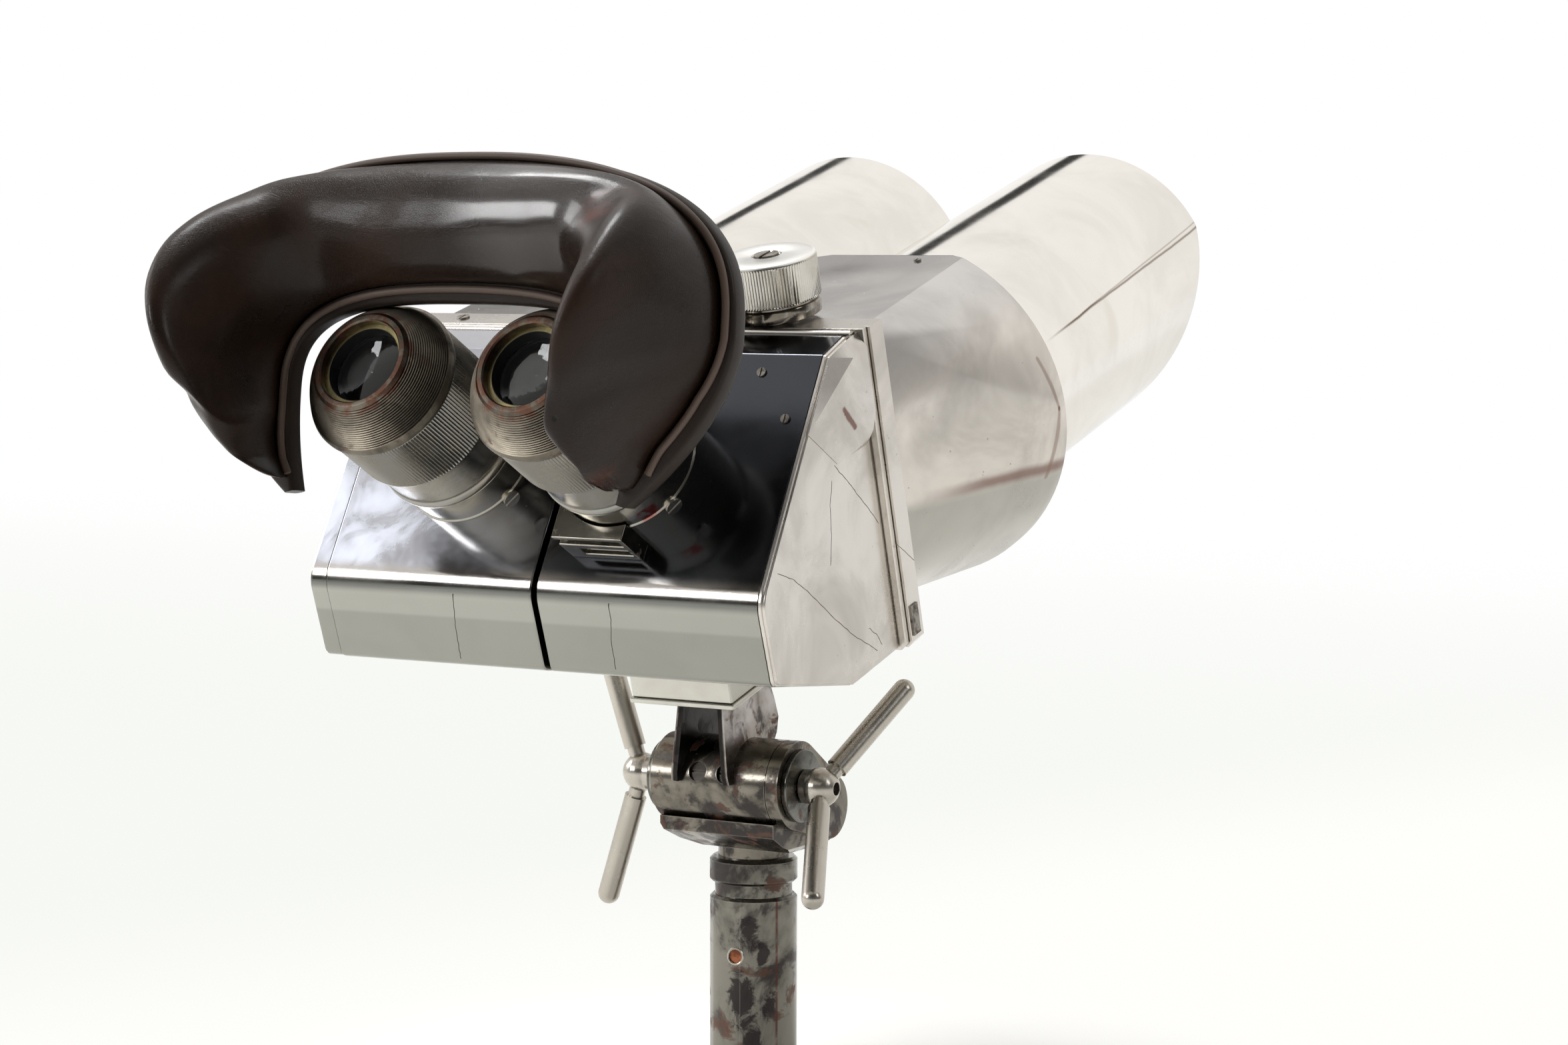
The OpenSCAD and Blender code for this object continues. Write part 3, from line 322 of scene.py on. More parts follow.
    def line(self, x: Value, y: Value, a: Sequence[float], b: Sequence[float],
             width: float, soft: float) -> Value:
        """Mask of a straight stroke.

        Args:
            x: First coordinate.
            y: Second coordinate.
            a: The stroke's start.
            b: Its end.
            width: Half its width.
            soft: How far its edge fades.

        Returns:
            1 on the stroke, 0 away from it.
        """
        length = math.hypot(b[0] - a[0], b[1] - a[1])
        ux, uy = (b[0] - a[0]) / length, (b[1] - a[1]) / length
        along = (x - a[0]) * ux + (y - a[1]) * uy
        off = (x - a[0]) * -uy + (y - a[1]) * ux
        kept = self.maths("MINIMUM", self.maths("MAXIMUM", along, 0.0), length)
        return self.step(self.distance(along - kept, off), width + soft, width)

    def mix(self, factor: Term, first: Any, second: Any) -> bpy.types.NodeSocket:
        """Mixes two colours by a factor."""
        made = self.node("ShaderNodeMix", {"data_type": "RGBA", "clamp_factor": True},
                         {0: factor, 6: first, 7: second})
        return made.outputs[2]

    def edge(self, radius: float) -> Value:
        """Mask of the sharp edges within a radius, in metres."""
        bent = self.node("ShaderNodeBevel", {"samples": 4}, {"Radius": radius}).outputs[0]
        flat = self.node("ShaderNodeNewGeometry").outputs["Normal"]
        dot = self.node("ShaderNodeVectorMath", {"operation": "DOT_PRODUCT"}, {0: bent, 1: flat})
        return self.step(Value(self, dot.outputs["Value"]), 0.995, 0.85)

    def bump(self, height: Value, depth: float, strength: float) -> bpy.types.NodeSocket:
        """Normal of a relief, with the metres that a height of 1 stands for."""
        made = self.node("ShaderNodeBump", None, {"Height": height, "Distance": depth, "Strength": strength})
        return made.outputs[0]

    def colour(self) -> bpy.types.NodeSocket:
        """The colour that already feeds the shader."""
        return self.shader.inputs["Base Color"].links[0].from_socket

    def set(self, **values: Any) -> None:
        """Feeds the shader's sockets, named with underscores for spaces."""
        for key, value in values.items():
            self.feed(self.shader.inputs[key.replace("_", " ").title().replace("Ior", "IOR")], value)


# Finishes


@dataclass(frozen=True)
class Finish:
    """A named finish, made once."""

    name: str

    def material(self) -> bpy.types.Material:
        """The finish's material."""
        found = bpy.data.materials.get(self.name)
        if found is None:
            graph = Graph(self.name)
            self.dress(graph)
            found = graph.material
        return found

    def dress(self, g: Graph) -> None:
        """Builds the nodes."""
        raise NotImplementedError


@dataclass(frozen=True)
class PolishedMetal(Finish):
    """Old polished light metal: soft clouds and fine pits."""

    tone: Colour = (0.66, 0.62, 0.57)
    dull: Colour = (0.50, 0.47, 0.43)
    gloss: float = 0.16
    clouds: float = 0.10
    pits: float = 0.5

    def shade(self, g: Graph) -> tuple[Any, Value, Any]:
        """Colour, roughness and relief before any marks.

        Args:
            g: The graph.

        Returns:
            The colour socket, the roughness and the height for the relief.
        """
        cloud = g.noise(26, 4, 0.6, 0.6)
        fine = g.noise(420, 3, 0.6)
        spots = g.cells(330)
        size = g.noise(120, 2, 0.5)
        pit = g.step(spots, 0.17, 0.07) * g.step(size, 0.60, 0.72) * self.pits
        colour = g.mix(g.step(cloud, 0.35, 0.72), self.tone, self.dull)
        colour = g.mix(pit * 0.85, colour, (0.10, 0.08, 0.065))
        rough = g.step(cloud, 0.35, 0.75) * self.clouds + fine * 0.05 + pit * 0.4 + self.gloss
        waves = g.noise(9, 2, 0.5, 0.3) + fine * 0.004 - pit * 0.09
        return colour, rough, waves

    def marks(self, g: Graph, colour: Any, rough: Value) -> tuple[Any, Value]:
        """Adds the marks of one place; here none."""
        return colour, rough

    def dress(self, g: Graph) -> None:
        """Builds the nodes."""
        colour, rough, height = self.shade(g)
        colour, rough = self.marks(g, colour, rough)
        g.set(base_color=colour, metallic=1.0, roughness=rough, normal=g.bump(height, 0.0011, 0.6))


@dataclass(frozen=True)
class PanelMetal(PolishedMetal):
    """Metal of the prism housings: a painted hazy reflection on the left panel, a painted dark reflection on
    the right, painted shade on the lower faces.
    """

    def marks(self, g: Graph, colour: Any, rough: Value) -> tuple[Any, Value]:
        """Adds the painted hazy reflection, the painted dark reflection and the painted shade of the lower
        faces.
        """
        u, v, w = g.local(SCOPE)
        up = ((v - REAR_V) + (w - PANEL_W)) * math.sqrt(0.5)
        on_panel = g.step(v + w, -187.0, -184.0) * g.step(up, 3, 9)
        swirl = g.noise(34, 5, 0.62, 1.2)
        blot = g.noise(95, 3, 0.6, 0.4)
        left = g.step(u, -20, -72) * g.step(up, 78, 30)
        painted_hazy_reflection = on_panel * left * g.step(swirl + blot * 0.25, 0.44, 0.78)
        right = on_panel * g.step(u, -30, 10)
        # painted reflection: the panel is tinted blue-grey, made near black on the right, and bright and hazy
        # on the left
        colour = g.mix(on_panel * 0.6, colour, (0.34, 0.37, 0.46))
        colour = g.mix(right * 0.9, colour, (0.034, 0.038, 0.046))
        colour = g.mix(painted_hazy_reflection * 0.6, colour, (0.66, 0.70, 0.80))
        rough = rough * (1 - right * 0.1) + painted_hazy_reflection * 0.30
        # painted shade: the lower rear faces are darker, with paler painted bands, and darker again over the
        # bend so that it shows no highlight
        rear = g.step(v, -165, -172)
        below = g.step(up, 3, -1) * rear
        colour = g.mix(below * 0.9, colour, (0.25, 0.255, 0.228))
        paler = g.within(w, -21, -13, 0.8) * 0.35 + g.step(w, -34, -50) * 0.3
        colour = g.mix(below * paler, colour, (0.46, 0.46, 0.42))
        bend = g.within(up, -1.8, 1.8, 0.7) * rear
        return g.mix(bend * 0.7, colour, (0.13, 0.13, 0.125)), rough


@dataclass(frozen=True)
class EarMetal(PolishedMetal):
    """Metal of an ear cover: a red-brown stain down its fold."""

    start: tuple[float, float] = (-116.6, 37.0)
    end: tuple[float, float] = (-110.7, 28.9)

    def marks(self, g: Graph, colour: Any, rough: Value) -> tuple[Any, Value]:
        """Adds the stain."""
        u, v, w = g.local(SCOPE)
        ragged = g.noise(160, 4, 0.65) * 1.6 - 0.8
        fold = g.line(v + ragged, w, self.start, self.end, 0.55, 0.9)
        return g.mix(fold * g.step(u, 20, 60) * 0.8, colour, (0.13, 0.038, 0.024)), rough


@dataclass(frozen=True)
class DrumMetal(PolishedMetal):
    """Metal of a drum: a brown line along its side, painted shade below it, a painted lighter reflection on
    top, and a blackened front face.
    """

    def marks(self, g: Graph, colour: Any, rough: Value) -> tuple[Any, Value]:
        """Adds the brown line, the painted shade underneath, the painted top reflection and the blackened
        front face.
        """
        u, v, w = g.local(SCOPE)
        far = abs(u)
        wave = g.noise(45, 3, 0.6) * 6.0 - 3.0
        level = w + v * 0.14 + wave * 0.35
        # painted shade: duller and greener below the brown line
        low = g.step(level, -19, -25) * g.step(far, 60, 84)
        colour = g.mix(low * 0.7, colour, (0.33, 0.33, 0.30))
        brown = g.within(level, -22.5, -18.5, 1.6) * g.step(far, 74, 92) * g.step(v, -82, -40)
        colour = g.mix(brown * 0.75, colour, (0.17, 0.085, 0.065))
        up = g.line(v, w, (-14, -22), (-8, 2), 0.5, 0.9) + g.line(v, w, (-8, 2), (-12, 22), 0.4, 0.8)
        colour = g.mix(up * g.step(far, 74, 96) * 0.55, colour, (0.24, 0.15, 0.11))
        # painted reflection: lighter and bluer towards the top
        painted_top_reflection = g.step(w, 30, 52)
        colour = g.mix(painted_top_reflection * 0.4, colour, (0.56, 0.57, 0.60))
        smear = g.line(v, w, (-70, 8), (-28, 42), 1.5, 9.0) * g.step(wave, -2.2, 0.6)
        colour = g.mix(smear * g.step(far, 60, 80) * 0.45, colour, (0.36, 0.34, 0.31))
        face = g.step(v, -0.7, -0.3)  # painted shade: the front face inside the rim is made near black, so a dark shadow line shows where the sunshade leaves the drum
        colour = g.mix(face, colour, (0.012, 0.012, 0.012))
        return colour, rough + low * 0.08 + face * 0.3


@dataclass(frozen=True)
class ShadeMetal(PolishedMetal):
    """Sunshade: warm bright outside with thin brown lines along it, black inside."""

    side: int = 1

    def marks(self, g: Graph, colour: Any, rough: Value) -> tuple[Any, Value]:
        """Adds the brown lines and the blackened inside."""
        x, y, z = g.local(tube_place(self.side))
        out = g.distance(x, y)
        turn = g.degrees(-y, x * self.side)
        drift = g.noise(18, 3, 0.6) * 3.0
        line = g.within(turn + drift - z * 0.018, 20.6, 21.5, 0.5) * g.step(z, 20, 50)
        second = g.within(turn + drift * 0.6 - z * 0.036, 19.6, 20.2, 0.4) * g.step(z, 25, 60) * 0.6
        colour = g.mix((line + second) * 0.8, colour, (0.13, 0.085, 0.055))
        blot = g.step(g.noise(22, 3, 0.5, 0.8), 0.62, 0.8)
        colour = g.mix(blot * 0.25, colour, (0.50, 0.45, 0.38))
        inside = g.step(out, 49.4, 49.1)
        colour = g.mix(inside, colour, (0.012, 0.012, 0.012))
        return colour, rough + inside * 0.5


@dataclass(frozen=True)
class WornSteel(Finish):
    """Bare steel with brown rust, black stains and rubbed edges."""

    tone: Colour = (0.42, 0.39, 0.35)
    rust: Colour = (0.11, 0.045, 0.022)
    stain: Colour = (0.035, 0.030, 0.030)
    rusty: float = 0.5
    stained: float = 0.5
    scale: float = 1.0
    shiny: float = 0.30

    def dress(self, g: Graph) -> None:
        """Builds the nodes."""
        s = self.scale
        broad = g.noise(26 * s, 5, 0.62, 0.7)
        patch = g.noise(70 * s, 4, 0.62, 0.5)
        grain = g.noise(520 * s, 3, 0.6)
        edge = g.edge(0.0008)
        colour = g.mix(g.step(broad, 0.42, 0.60), self.tone, tuple(c * 0.5 for c in self.tone))
        least, dark = 0.70 - 0.12 * self.rusty, 0.61 - 0.14 * self.stained
        brown = g.step(patch + grain * 0.10, least, least + 0.10) * (1 - edge * 0.6)
        black = g.step(broad * 0.6 + patch * 0.4, dark, dark + 0.07) * (1 - edge * 0.7)
        colour = g.mix(black * 0.88, colour, self.stain)
        colour = g.mix(brown * 0.8, colour, self.rust)
        colour = g.mix(edge * 0.35, colour, tuple(min(1.0, c * 1.7) for c in self.tone))
        colour = self.marks(g, colour)
        rough = grain * 0.08 + brown * 0.22 + black * 0.12 + self.shiny - edge * 0.05
        metal = 1 - brown * 0.6 - black * 0.2
        height = grain * 0.16 + patch * 0.5 + brown * 0.35 - black * 0.25
        g.set(base_color=colour, metallic=metal, roughness=rough, normal=g.bump(height, 0.00016, 0.6))

    def marks(self, g: Graph, colour: Any) -> Any:
        """Adds the marks of one place; here none."""
        return colour


@dataclass(frozen=True)
class PostSteel(WornSteel):
    """Steel of the post: black patches, a brown line and two paler ones down its side.

    Each patch has its angle, its level, and its half width in degrees and half height in millimetres.
    """

    patches: tuple[tuple[float, float, float, float], ...] = (
        (24, 63, 15, 9), (14, 38, 20, 11), (44, 55, 8, 6), (30, 20, 14, 7), (52, 36, 10, 6))

    def marks(self, g: Graph, colour: Any) -> Any:
        """Adds the patches and the lines."""
        x, y, z = g.local(WORLD)
        turn = g.degrees(x, -y)
        ragged = g.noise(130, 5, 0.7, 0.8)
        for at, level, wide, high in self.patches:
            spot = ((turn - at) / wide) ** 2.0 + ((z - level) / high) ** 2.0
            colour = g.mix(g.step(spot + (ragged - 0.5) * 5.5, 1.2, 0.3) * 0.9, colour, (0.024, 0.020, 0.022))
        tube = g.step(z, 78, 74)
        brown = g.within(turn, 60.5, 64.0, 1.2) * g.step(ragged, 0.30, 0.50)
        colour = g.mix(brown * 0.8 * tube, colour, (0.085, 0.030, 0.024))
        pale = g.within(turn, -39, -37.5, 0.8) + g.within(turn, 12, 13, 0.8) * 0.3
        return g.mix(pale * 0.4 * tube, colour, (0.62, 0.60, 0.57))


@dataclass(frozen=True)
class ForkSteel(WornSteel):
    """Steel of the fork: painted shade on the inner faces between its plates, paler and mottled outside."""

    lean_right: float = 0.078
    lean_left: float = 0.114

    def marks(self, g: Graph, colour: Any) -> Any:
        """Paints shade on the inner faces and greys the outer one."""
        x, _, z = g.local(TILT @ Matrix.Rotation(math.radians(REST_PITCH), 4, "X"))
        drop = 39 - z
        right, left = g.step(x, -0.1, 0.1) * self.lean_right, g.step(x, 0.1, -0.1) * self.lean_left
        # painted shade: the inner faces between the plates are made near black
        inside = g.step(abs(x - drop * right + drop * left), 8.9, 8.2)
        outer = g.step(x, 8.9, 9.3) * g.step(z, 16, 24) * g.step(g.noise(60, 4, 0.6), 0.36, 0.6)
        colour = g.mix(outer * 0.8, colour, (0.47, 0.44, 0.43))
        return g.mix(inside * 0.93, colour, (0.010, 0.009, 0.009))


@dataclass(frozen=True)
class TurnedSteel(WornSteel):
    """Steel of a turned eyecup: painted shade in its grooves, rust on its rim.

    The crown is how far the cone's swelling moves a groove up the axis, as a share of the cone's height.
    """

    tone: Colour = (0.165, 0.145, 0.115)
    rusty: float = 0.5
    stained: float = 0.5
    scale: float = 2.2
    shiny: float = 0.38
    side: int = 1
    grooves: int = 18
    cone_z: float = 71.6
    cone_h: float = 11.5
    crown: float = 0.0394

    def marks(self, g: Graph, colour: Any) -> Any:
        """Adds the painted shade in the grooves and the rusty rim."""
        _, _, z = g.local(eye_place(self.side))
        flat = (z - self.cone_z) / self.cone_h
        along = flat - g.maths("SINE", flat * math.pi) * self.crown
        line = abs(g.maths("FRACT", along * self.grooves) - 0.5) * 2
        cone = g.within(along, 0.0, 1.0, 0.01)
        # painted shade: a dark line along each groove
        colour = g.mix(g.step(line, 0.62, 0.12) * cone * 0.85, colour, (0.030, 0.026, 0.022))
        rim = g.step(z, 81.0, 82.6) * g.step(g.noise(260, 4, 0.65), 0.40, 0.58)
        return g.mix(rim * 0.8, colour, (0.120, 0.050, 0.033))


@dataclass(frozen=True)
class Nickel(Finish):
    """Nickel plate with soft smudges and dark spots."""

    tone: Colour = (0.60, 0.56, 0.50)
    gloss: float = 0.17
    tarnish: float = 0.4

    def dress(self, g: Graph) -> None:
        """Builds the nodes."""
        broad = g.noise(40, 4, 0.6, 0.5)
        spots = g.step(g.noise(260, 4, 0.7), 0.64, 0.76)
        colour = g.mix(g.step(broad, 0.35, 0.75) * self.tarnish, self.tone, (0.34, 0.29, 0.22))
        colour = g.mix(spots * 0.45 * self.tarnish, colour, (0.13, 0.09, 0.06))
        rough = g.step(broad, 0.3, 0.8) * 0.12 + spots * 0.12 + self.gloss
        g.set(base_color=colour, metallic=1.0, roughness=rough,
              normal=g.bump(broad * 0.6 + spots * 0.05, 0.0004, 0.5))


@dataclass(frozen=True)
class EyeMetal(Nickel):
    """Metal of an eyepiece's base, with its red index mark and faint groove."""

    side: int = 1

    def dress(self, g: Graph) -> None:
        """Builds the nodes."""
        super().dress(g)
        x, y, z = g.local(eye_place(self.side))
        out = g.distance(x, y)
        turn = g.degrees(y, x * self.side)
        worn = g.step(g.noise(300, 3, 0.6), 0.35, 0.5)
        mark = g.within(turn, -60, -44, 2.0) * g.within(z, 12.9, 18.2, 0.6) * worn
        groove = g.within(z, 12.2, 12.9, 0.2)
        colour = g.mix(groove * 0.5, g.colour(), (0.12, 0.10, 0.08))
        colour = g.mix(mark * 0.9, colour, (0.30, 0.018, 0.020))
        inner = g.step(out, 22.8, 22.2)
        colour = g.mix(inner * 0.9, colour, (0.02, 0.02, 0.02))
        g.set(base_color=colour)


@dataclass(frozen=True)
class KnobMetal(Nickel):
    """Nickel of the filter knob: a painted highlight on its top, a darker foot with a red mark, and a set
    screw above it.
    """

    screw_turn: float = -122.0
    screw_z: float = 16.2

    def dress(self, g: Graph) -> None:
        """Builds the nodes."""
        super().dress(g)
        x, y, z = g.local(knob_place())
        out = g.distance(x, y)
        turn = g.degrees(y, x)
        top = g.step(z, 20.2, 20.8) * g.step(out, 5.0, 5.6)
        foot = g.step(z, 6.0, 5.2)
        # the foot ring is made darker, with a light mottle
        foot_darkening = foot * (g.step(g.noise(210, 4, 0.65), 0.34, 0.60) * 0.3 + 0.6)
        colour = g.mix(foot_darkening, g.colour(), (0.13, 0.11, 0.085))
        red = foot * g.within(turn, self.screw_turn - 9, self.screw_turn + 10, 2) * 0.85
        colour = g.mix(red, colour, (0.20, 0.012, 0.014))
        aside, above = (turn - self.screw_turn) / 4.0, (z - self.screw_z) / 1.25
        set_screw = g.step(aside * aside + above * above, 1.25, 0.8) * g.step(out, 12, 13)
        colour = g.mix(set_screw * 0.95, colour, (0.02, 0.018, 0.016))
        # painted highlight: the top face is made near white
        g.set(base_color=g.mix(top * 0.92, colour, (0.95, 0.94, 0.91)), roughness=top * 0.18 + self.gloss)


@dataclass(frozen=True)
class CellMetal(Finish):
    """Brass cell of an eyepiece, blackened inside its bore."""

    side: int = 1

    def dress(self, g: Graph) -> None:
        """Builds the nodes."""
        x, y, _ = g.local(eye_place(self.side))
        out = g.distance(x, y)
        stain = g.noise(190, 4, 0.65, 0.4)
        colour = g.mix(g.step(stain, 0.35, 0.7), (0.36, 0.31, 0.15), (0.20, 0.175, 0.10))
        black = g.step(out, 13.6, 13.3)
        colour = g.mix(black, colour, (0.006, 0.006, 0.006))
        g.set(base_color=colour, metallic=1 - black * 0.9, roughness=stain * 0.2 + black * 0.3 + 0.22)


@dataclass(frozen=True)
class Leather(Finish):
    """Dark brown leather, rubbed glossy, with fine grain, creases and redder worn places."""

    tone: Colour = (0.0135, 0.0078, 0.0052)
    worn: Colour = (0.031, 0.0150, 0.0090)
    gloss: float = 0.22
    crease: float = 1.0
    dusty: float = 0.5
    fold_at: Point = (71, 47, 33)
    tip_at: Point = (67, -38, 22)
    hole_at: Point = (69.2, -20.9, 52.1)
    polish_at: Point = (34, 47, 27)

    def dress(self, g: Graph) -> None:
        """Builds the nodes."""
        broad = g.noise(15, 4, 0.6, 0.7)
        patch = g.noise(70, 4, 0.65, 0.4)
        grain = g.cells(1500, "DISTANCE_TO_EDGE")
        fine = g.noise(1400, 3, 0.6)
        x, y, z = g.local(REST)
        fold = g.noise(2.2, 4, 0.6, 1.1, at=g.vector(x * 0.035, y * 0.11, z * 0.05))
        scuff = g.step(g.noise(330, 4, 0.7), 0.68, 0.80)
        colour = g.mix(g.step(broad, 0.40, 0.74) * 0.8, self.tone, self.worn)
        colour = g.mix(g.step(patch, 0.60, 0.82) * 0.4 * self.dusty, colour, (0.060, 0.038, 0.030))
        colour = g.mix(scuff * 0.25 * self.dusty, colour, (0.085, 0.055, 0.042))
        red = self.near(g, (x, y, z), self.fold_at, 15) * g.step(patch, 0.36, 0.6)
        red = red + self.near(g, (x, y, z), self.tip_at, 9) * g.step(fine * 0.5 + patch * 0.5, 0.42, 0.58)
        colour = g.mix(red * 0.75, colour, (0.105, 0.030, 0.017))
        rough = g.step(broad, 0.35, 0.8) * 0.15 + patch * 0.09 + scuff * 0.12 + red * 0.15 + self.gloss
        height = g.step(grain, 0.0, 0.10) * 0.09 + fine * 0.07 + g.step(fold, 0.45, 0.62) * 0.14 * self.crease
        # the hole is dented by the bump and made near black as painted shade
        hole = self.near(g, (x, y, z), self.hole_at, 1.5)
        colour = g.mix(g.step(hole, 0.35, 0.6), colour, (0.002, 0.002, 0.002))
        polish = self.near(g, (x, y, z), self.polish_at, 34) + g.step(broad, 0.62, 0.40) * 0.14
        g.set(base_color=colour, roughness=rough, specular_ior_level=0.16, coat_roughness=0.16,
              coat_weight=polish, normal=g.bump(height - hole * 2, 0.00030, 0.8))

    @staticmethod
    def near(g: Graph, at: tuple[Value, Value, Value], spot: Point, reach: float) -> Value:
        """Soft mask around a spot.

        Args:
            g: The graph.
            at: The surface's coordinates, in millimetres.
            spot: The spot's coordinates.
            reach: Distance at which the mask ends.

        Returns:
            1 on the spot, 0 beyond its reach.
        """
        return g.step(g.distance(*(a - b for a, b in zip(at, spot))), reach, reach * 0.2)


@dataclass(frozen=True)
class Glass(Finish):
    """Clear coated glass, a little dusty."""

    cast: Colour = (0.93, 0.95, 0.96)

    def dress(self, g: Graph) -> None:
        """Builds the nodes."""
        dust = g.step(g.noise(900, 3, 0.6), 0.66, 0.80)
        smear = g.noise(60, 4, 0.6, 1.0)
        g.set(base_color=self.cast, roughness=dust * 0.10 + smear * 0.03, ior=1.52,
              transmission_weight=1.0)


@dataclass(frozen=True)
class Plain(Finish):
    """A small or hidden part's finish, mottled by fine noise."""

    tone: Colour = (0.5, 0.5, 0.5)
    second: Colour = (0.3, 0.3, 0.3)
    metal: float = 0.0
    gloss: float = 0.4
    scale: float = 240.0

    def dress(self, g: Graph) -> None:
        """Builds the nodes."""
        mottle = g.noise(self.scale, 4, 0.65, 0.3)
        mask = g.step(mottle, 0.38, 0.68)
        g.set(base_color=g.mix(mask, self.tone, self.second), metallic=self.metal,
              roughness=mask * 0.18 + self.gloss, normal=g.bump(mottle, 0.00012, 0.6))


# Meshes


def knurl(teeth: int, depth: float, cut: Callable[[float, float], bool]) -> Ridge:
    """Radius of a knurled outline.

    Args:
        teeth: Teeth around.
        depth: Their depth.
        cut: Whether a point of the outline, by radius and height, is knurled.

    Returns:
        A function that gives the radius from radius, height and angle.
    """
    def ridge(r: float, z: float, turn: float) -> float:
        """Radius at one point."""
        phase = (turn * teeth / (2 * math.pi)) % 1.0
        return r - depth * (1 - abs(2 * phase - 1)) ** 0.8 if cut(r, z) else r

    return ridge


class Shape:
    """Points and faces gathered for one piece, in a frame, in millimetres."""

    def __init__(self, place: Matrix = WORLD) -> None:
        """Starts empty in a frame."""
        self.place = place
        self.points: list[Point] = []
        self.faces: list[tuple[int, ...]] = []

    def loops(self, rings: Sequence[Sequence[Point]], close_rings: bool = True,
              close_way: bool = False, caps: bool = False) -> "Shape":
        """Skins a row of equal rings.

        Args:
            rings: The rings, each a row of points.
            close_rings: Whether each ring is closed.
            close_way: Whether the last ring joins the first.
            caps: Whether the first and last rings are filled.

        Returns:
            This shape.
        """
        start, n, m = len(self.points), len(rings[0]), len(rings)
        for ring in rings:
            self.points.extend(ring)
        for i in range(m if close_way else m - 1):
            for j in range(n if close_rings else n - 1):
                a, b = start + i * n, start + ((i + 1) % m) * n
                self.faces.append((a + j, a + (j + 1) % n, b + (j + 1) % n, b + j))
        if caps:
            self.faces.append(tuple(start + j for j in reversed(range(n))))
            self.faces.append(tuple(start + (m - 1) * n + j for j in range(n)))
        return self

    def lathe(self, profile: Sequence[tuple[float, float]], steps: int,
              ridge: Ridge | None = None) -> "Shape":
        """Turns a profile of radius and height about z.

        Args:
            profile: The outline's points.
            steps: Steps around.
            ridge: Radius from radius, height and angle, for knurls.

        Returns:
            This shape.
        """
        rings = []
        for k in range(steps):
            turn = 2 * math.pi * k / steps
            ring = []
            for r, z in profile:
                if ridge:
                    r = ridge(r, z, turn)
                ring.append((r * math.cos(turn), r * math.sin(turn), z))
            rings.append(ring)
        return self.loops(rings, close_way=True)

    def tube(self, path: Sequence[Vector], radius: float, sides: int) -> "Shape":
        """Lays a round cord along a path."""
        rings = []
        up = Vector((0, 0, 1))
        for k, p in enumerate(path):
            way = (path[min(k + 1, len(path) - 1)] - path[max(k - 1, 0)]).normalized()
            side = way.cross(up)
            side = side.normalized() if side.length > 1e-6 else Vector((1, 0, 0))
            top = side.cross(way).normalized()
            rings.append([tuple(p + radius * (math.cos(a) * side + math.sin(a) * top))
                          for a in (2 * math.pi * j / sides for j in range(sides))])
        return self.loops(rings, caps=True)

    def ribbon(self, path: Sequence[Point], across: Callable[[int], float], way: Point) -> "Shape":
        """Lays a thin flat strip along a path, for a hairline crack.

        Args:
            path: Points on the surface.
            across: Width at each point.
            way: The surface's outward direction, across which the strip lies.

        Returns:
            This shape.
        """
        rows = []
        out = Vector(way)
        for k, p in enumerate(path):
            ahead = Vector(path[min(k + 1, len(path) - 1)]) - Vector(path[max(k - 1, 0)])
            side = out.cross(ahead).normalized() * across(k) / 2
            rows.append([tuple(Vector(p) + side), tuple(Vector(p) - side)])
        return self.loops(rows, close_rings=False)

    def piece(self, name: str, finish: Finish, smooth: float = 30.0) -> bpy.types.Object:
        """Makes the object.

        Args:
            name: The piece's name.
            finish: Its finish.
            smooth: Edges sharper than this angle stay sharp.

        Returns:
            The object, in metres in the row's frame.
        """
        mesh = bpy.data.meshes.new(name)
        scale = self.place @ Matrix.Diagonal((MM, MM, MM, 1))
        mesh.from_pydata([tuple(scale @ Vector(p)) for p in self.points], [], self.faces)
        work = bmesh.new()
        work.from_mesh(mesh)
        bmesh.ops.remove_doubles(work, verts=work.verts, dist=1e-7)
        bmesh.ops.recalc_face_normals(work, faces=work.faces)
        work.to_mesh(mesh)
        work.free()
        mesh.materials.append(finish.material())
        made = bpy.data.objects.new(name, mesh)
        bpy.context.scene.collection.objects.link(made)
        Workshop.soften(made, smooth)
        return made


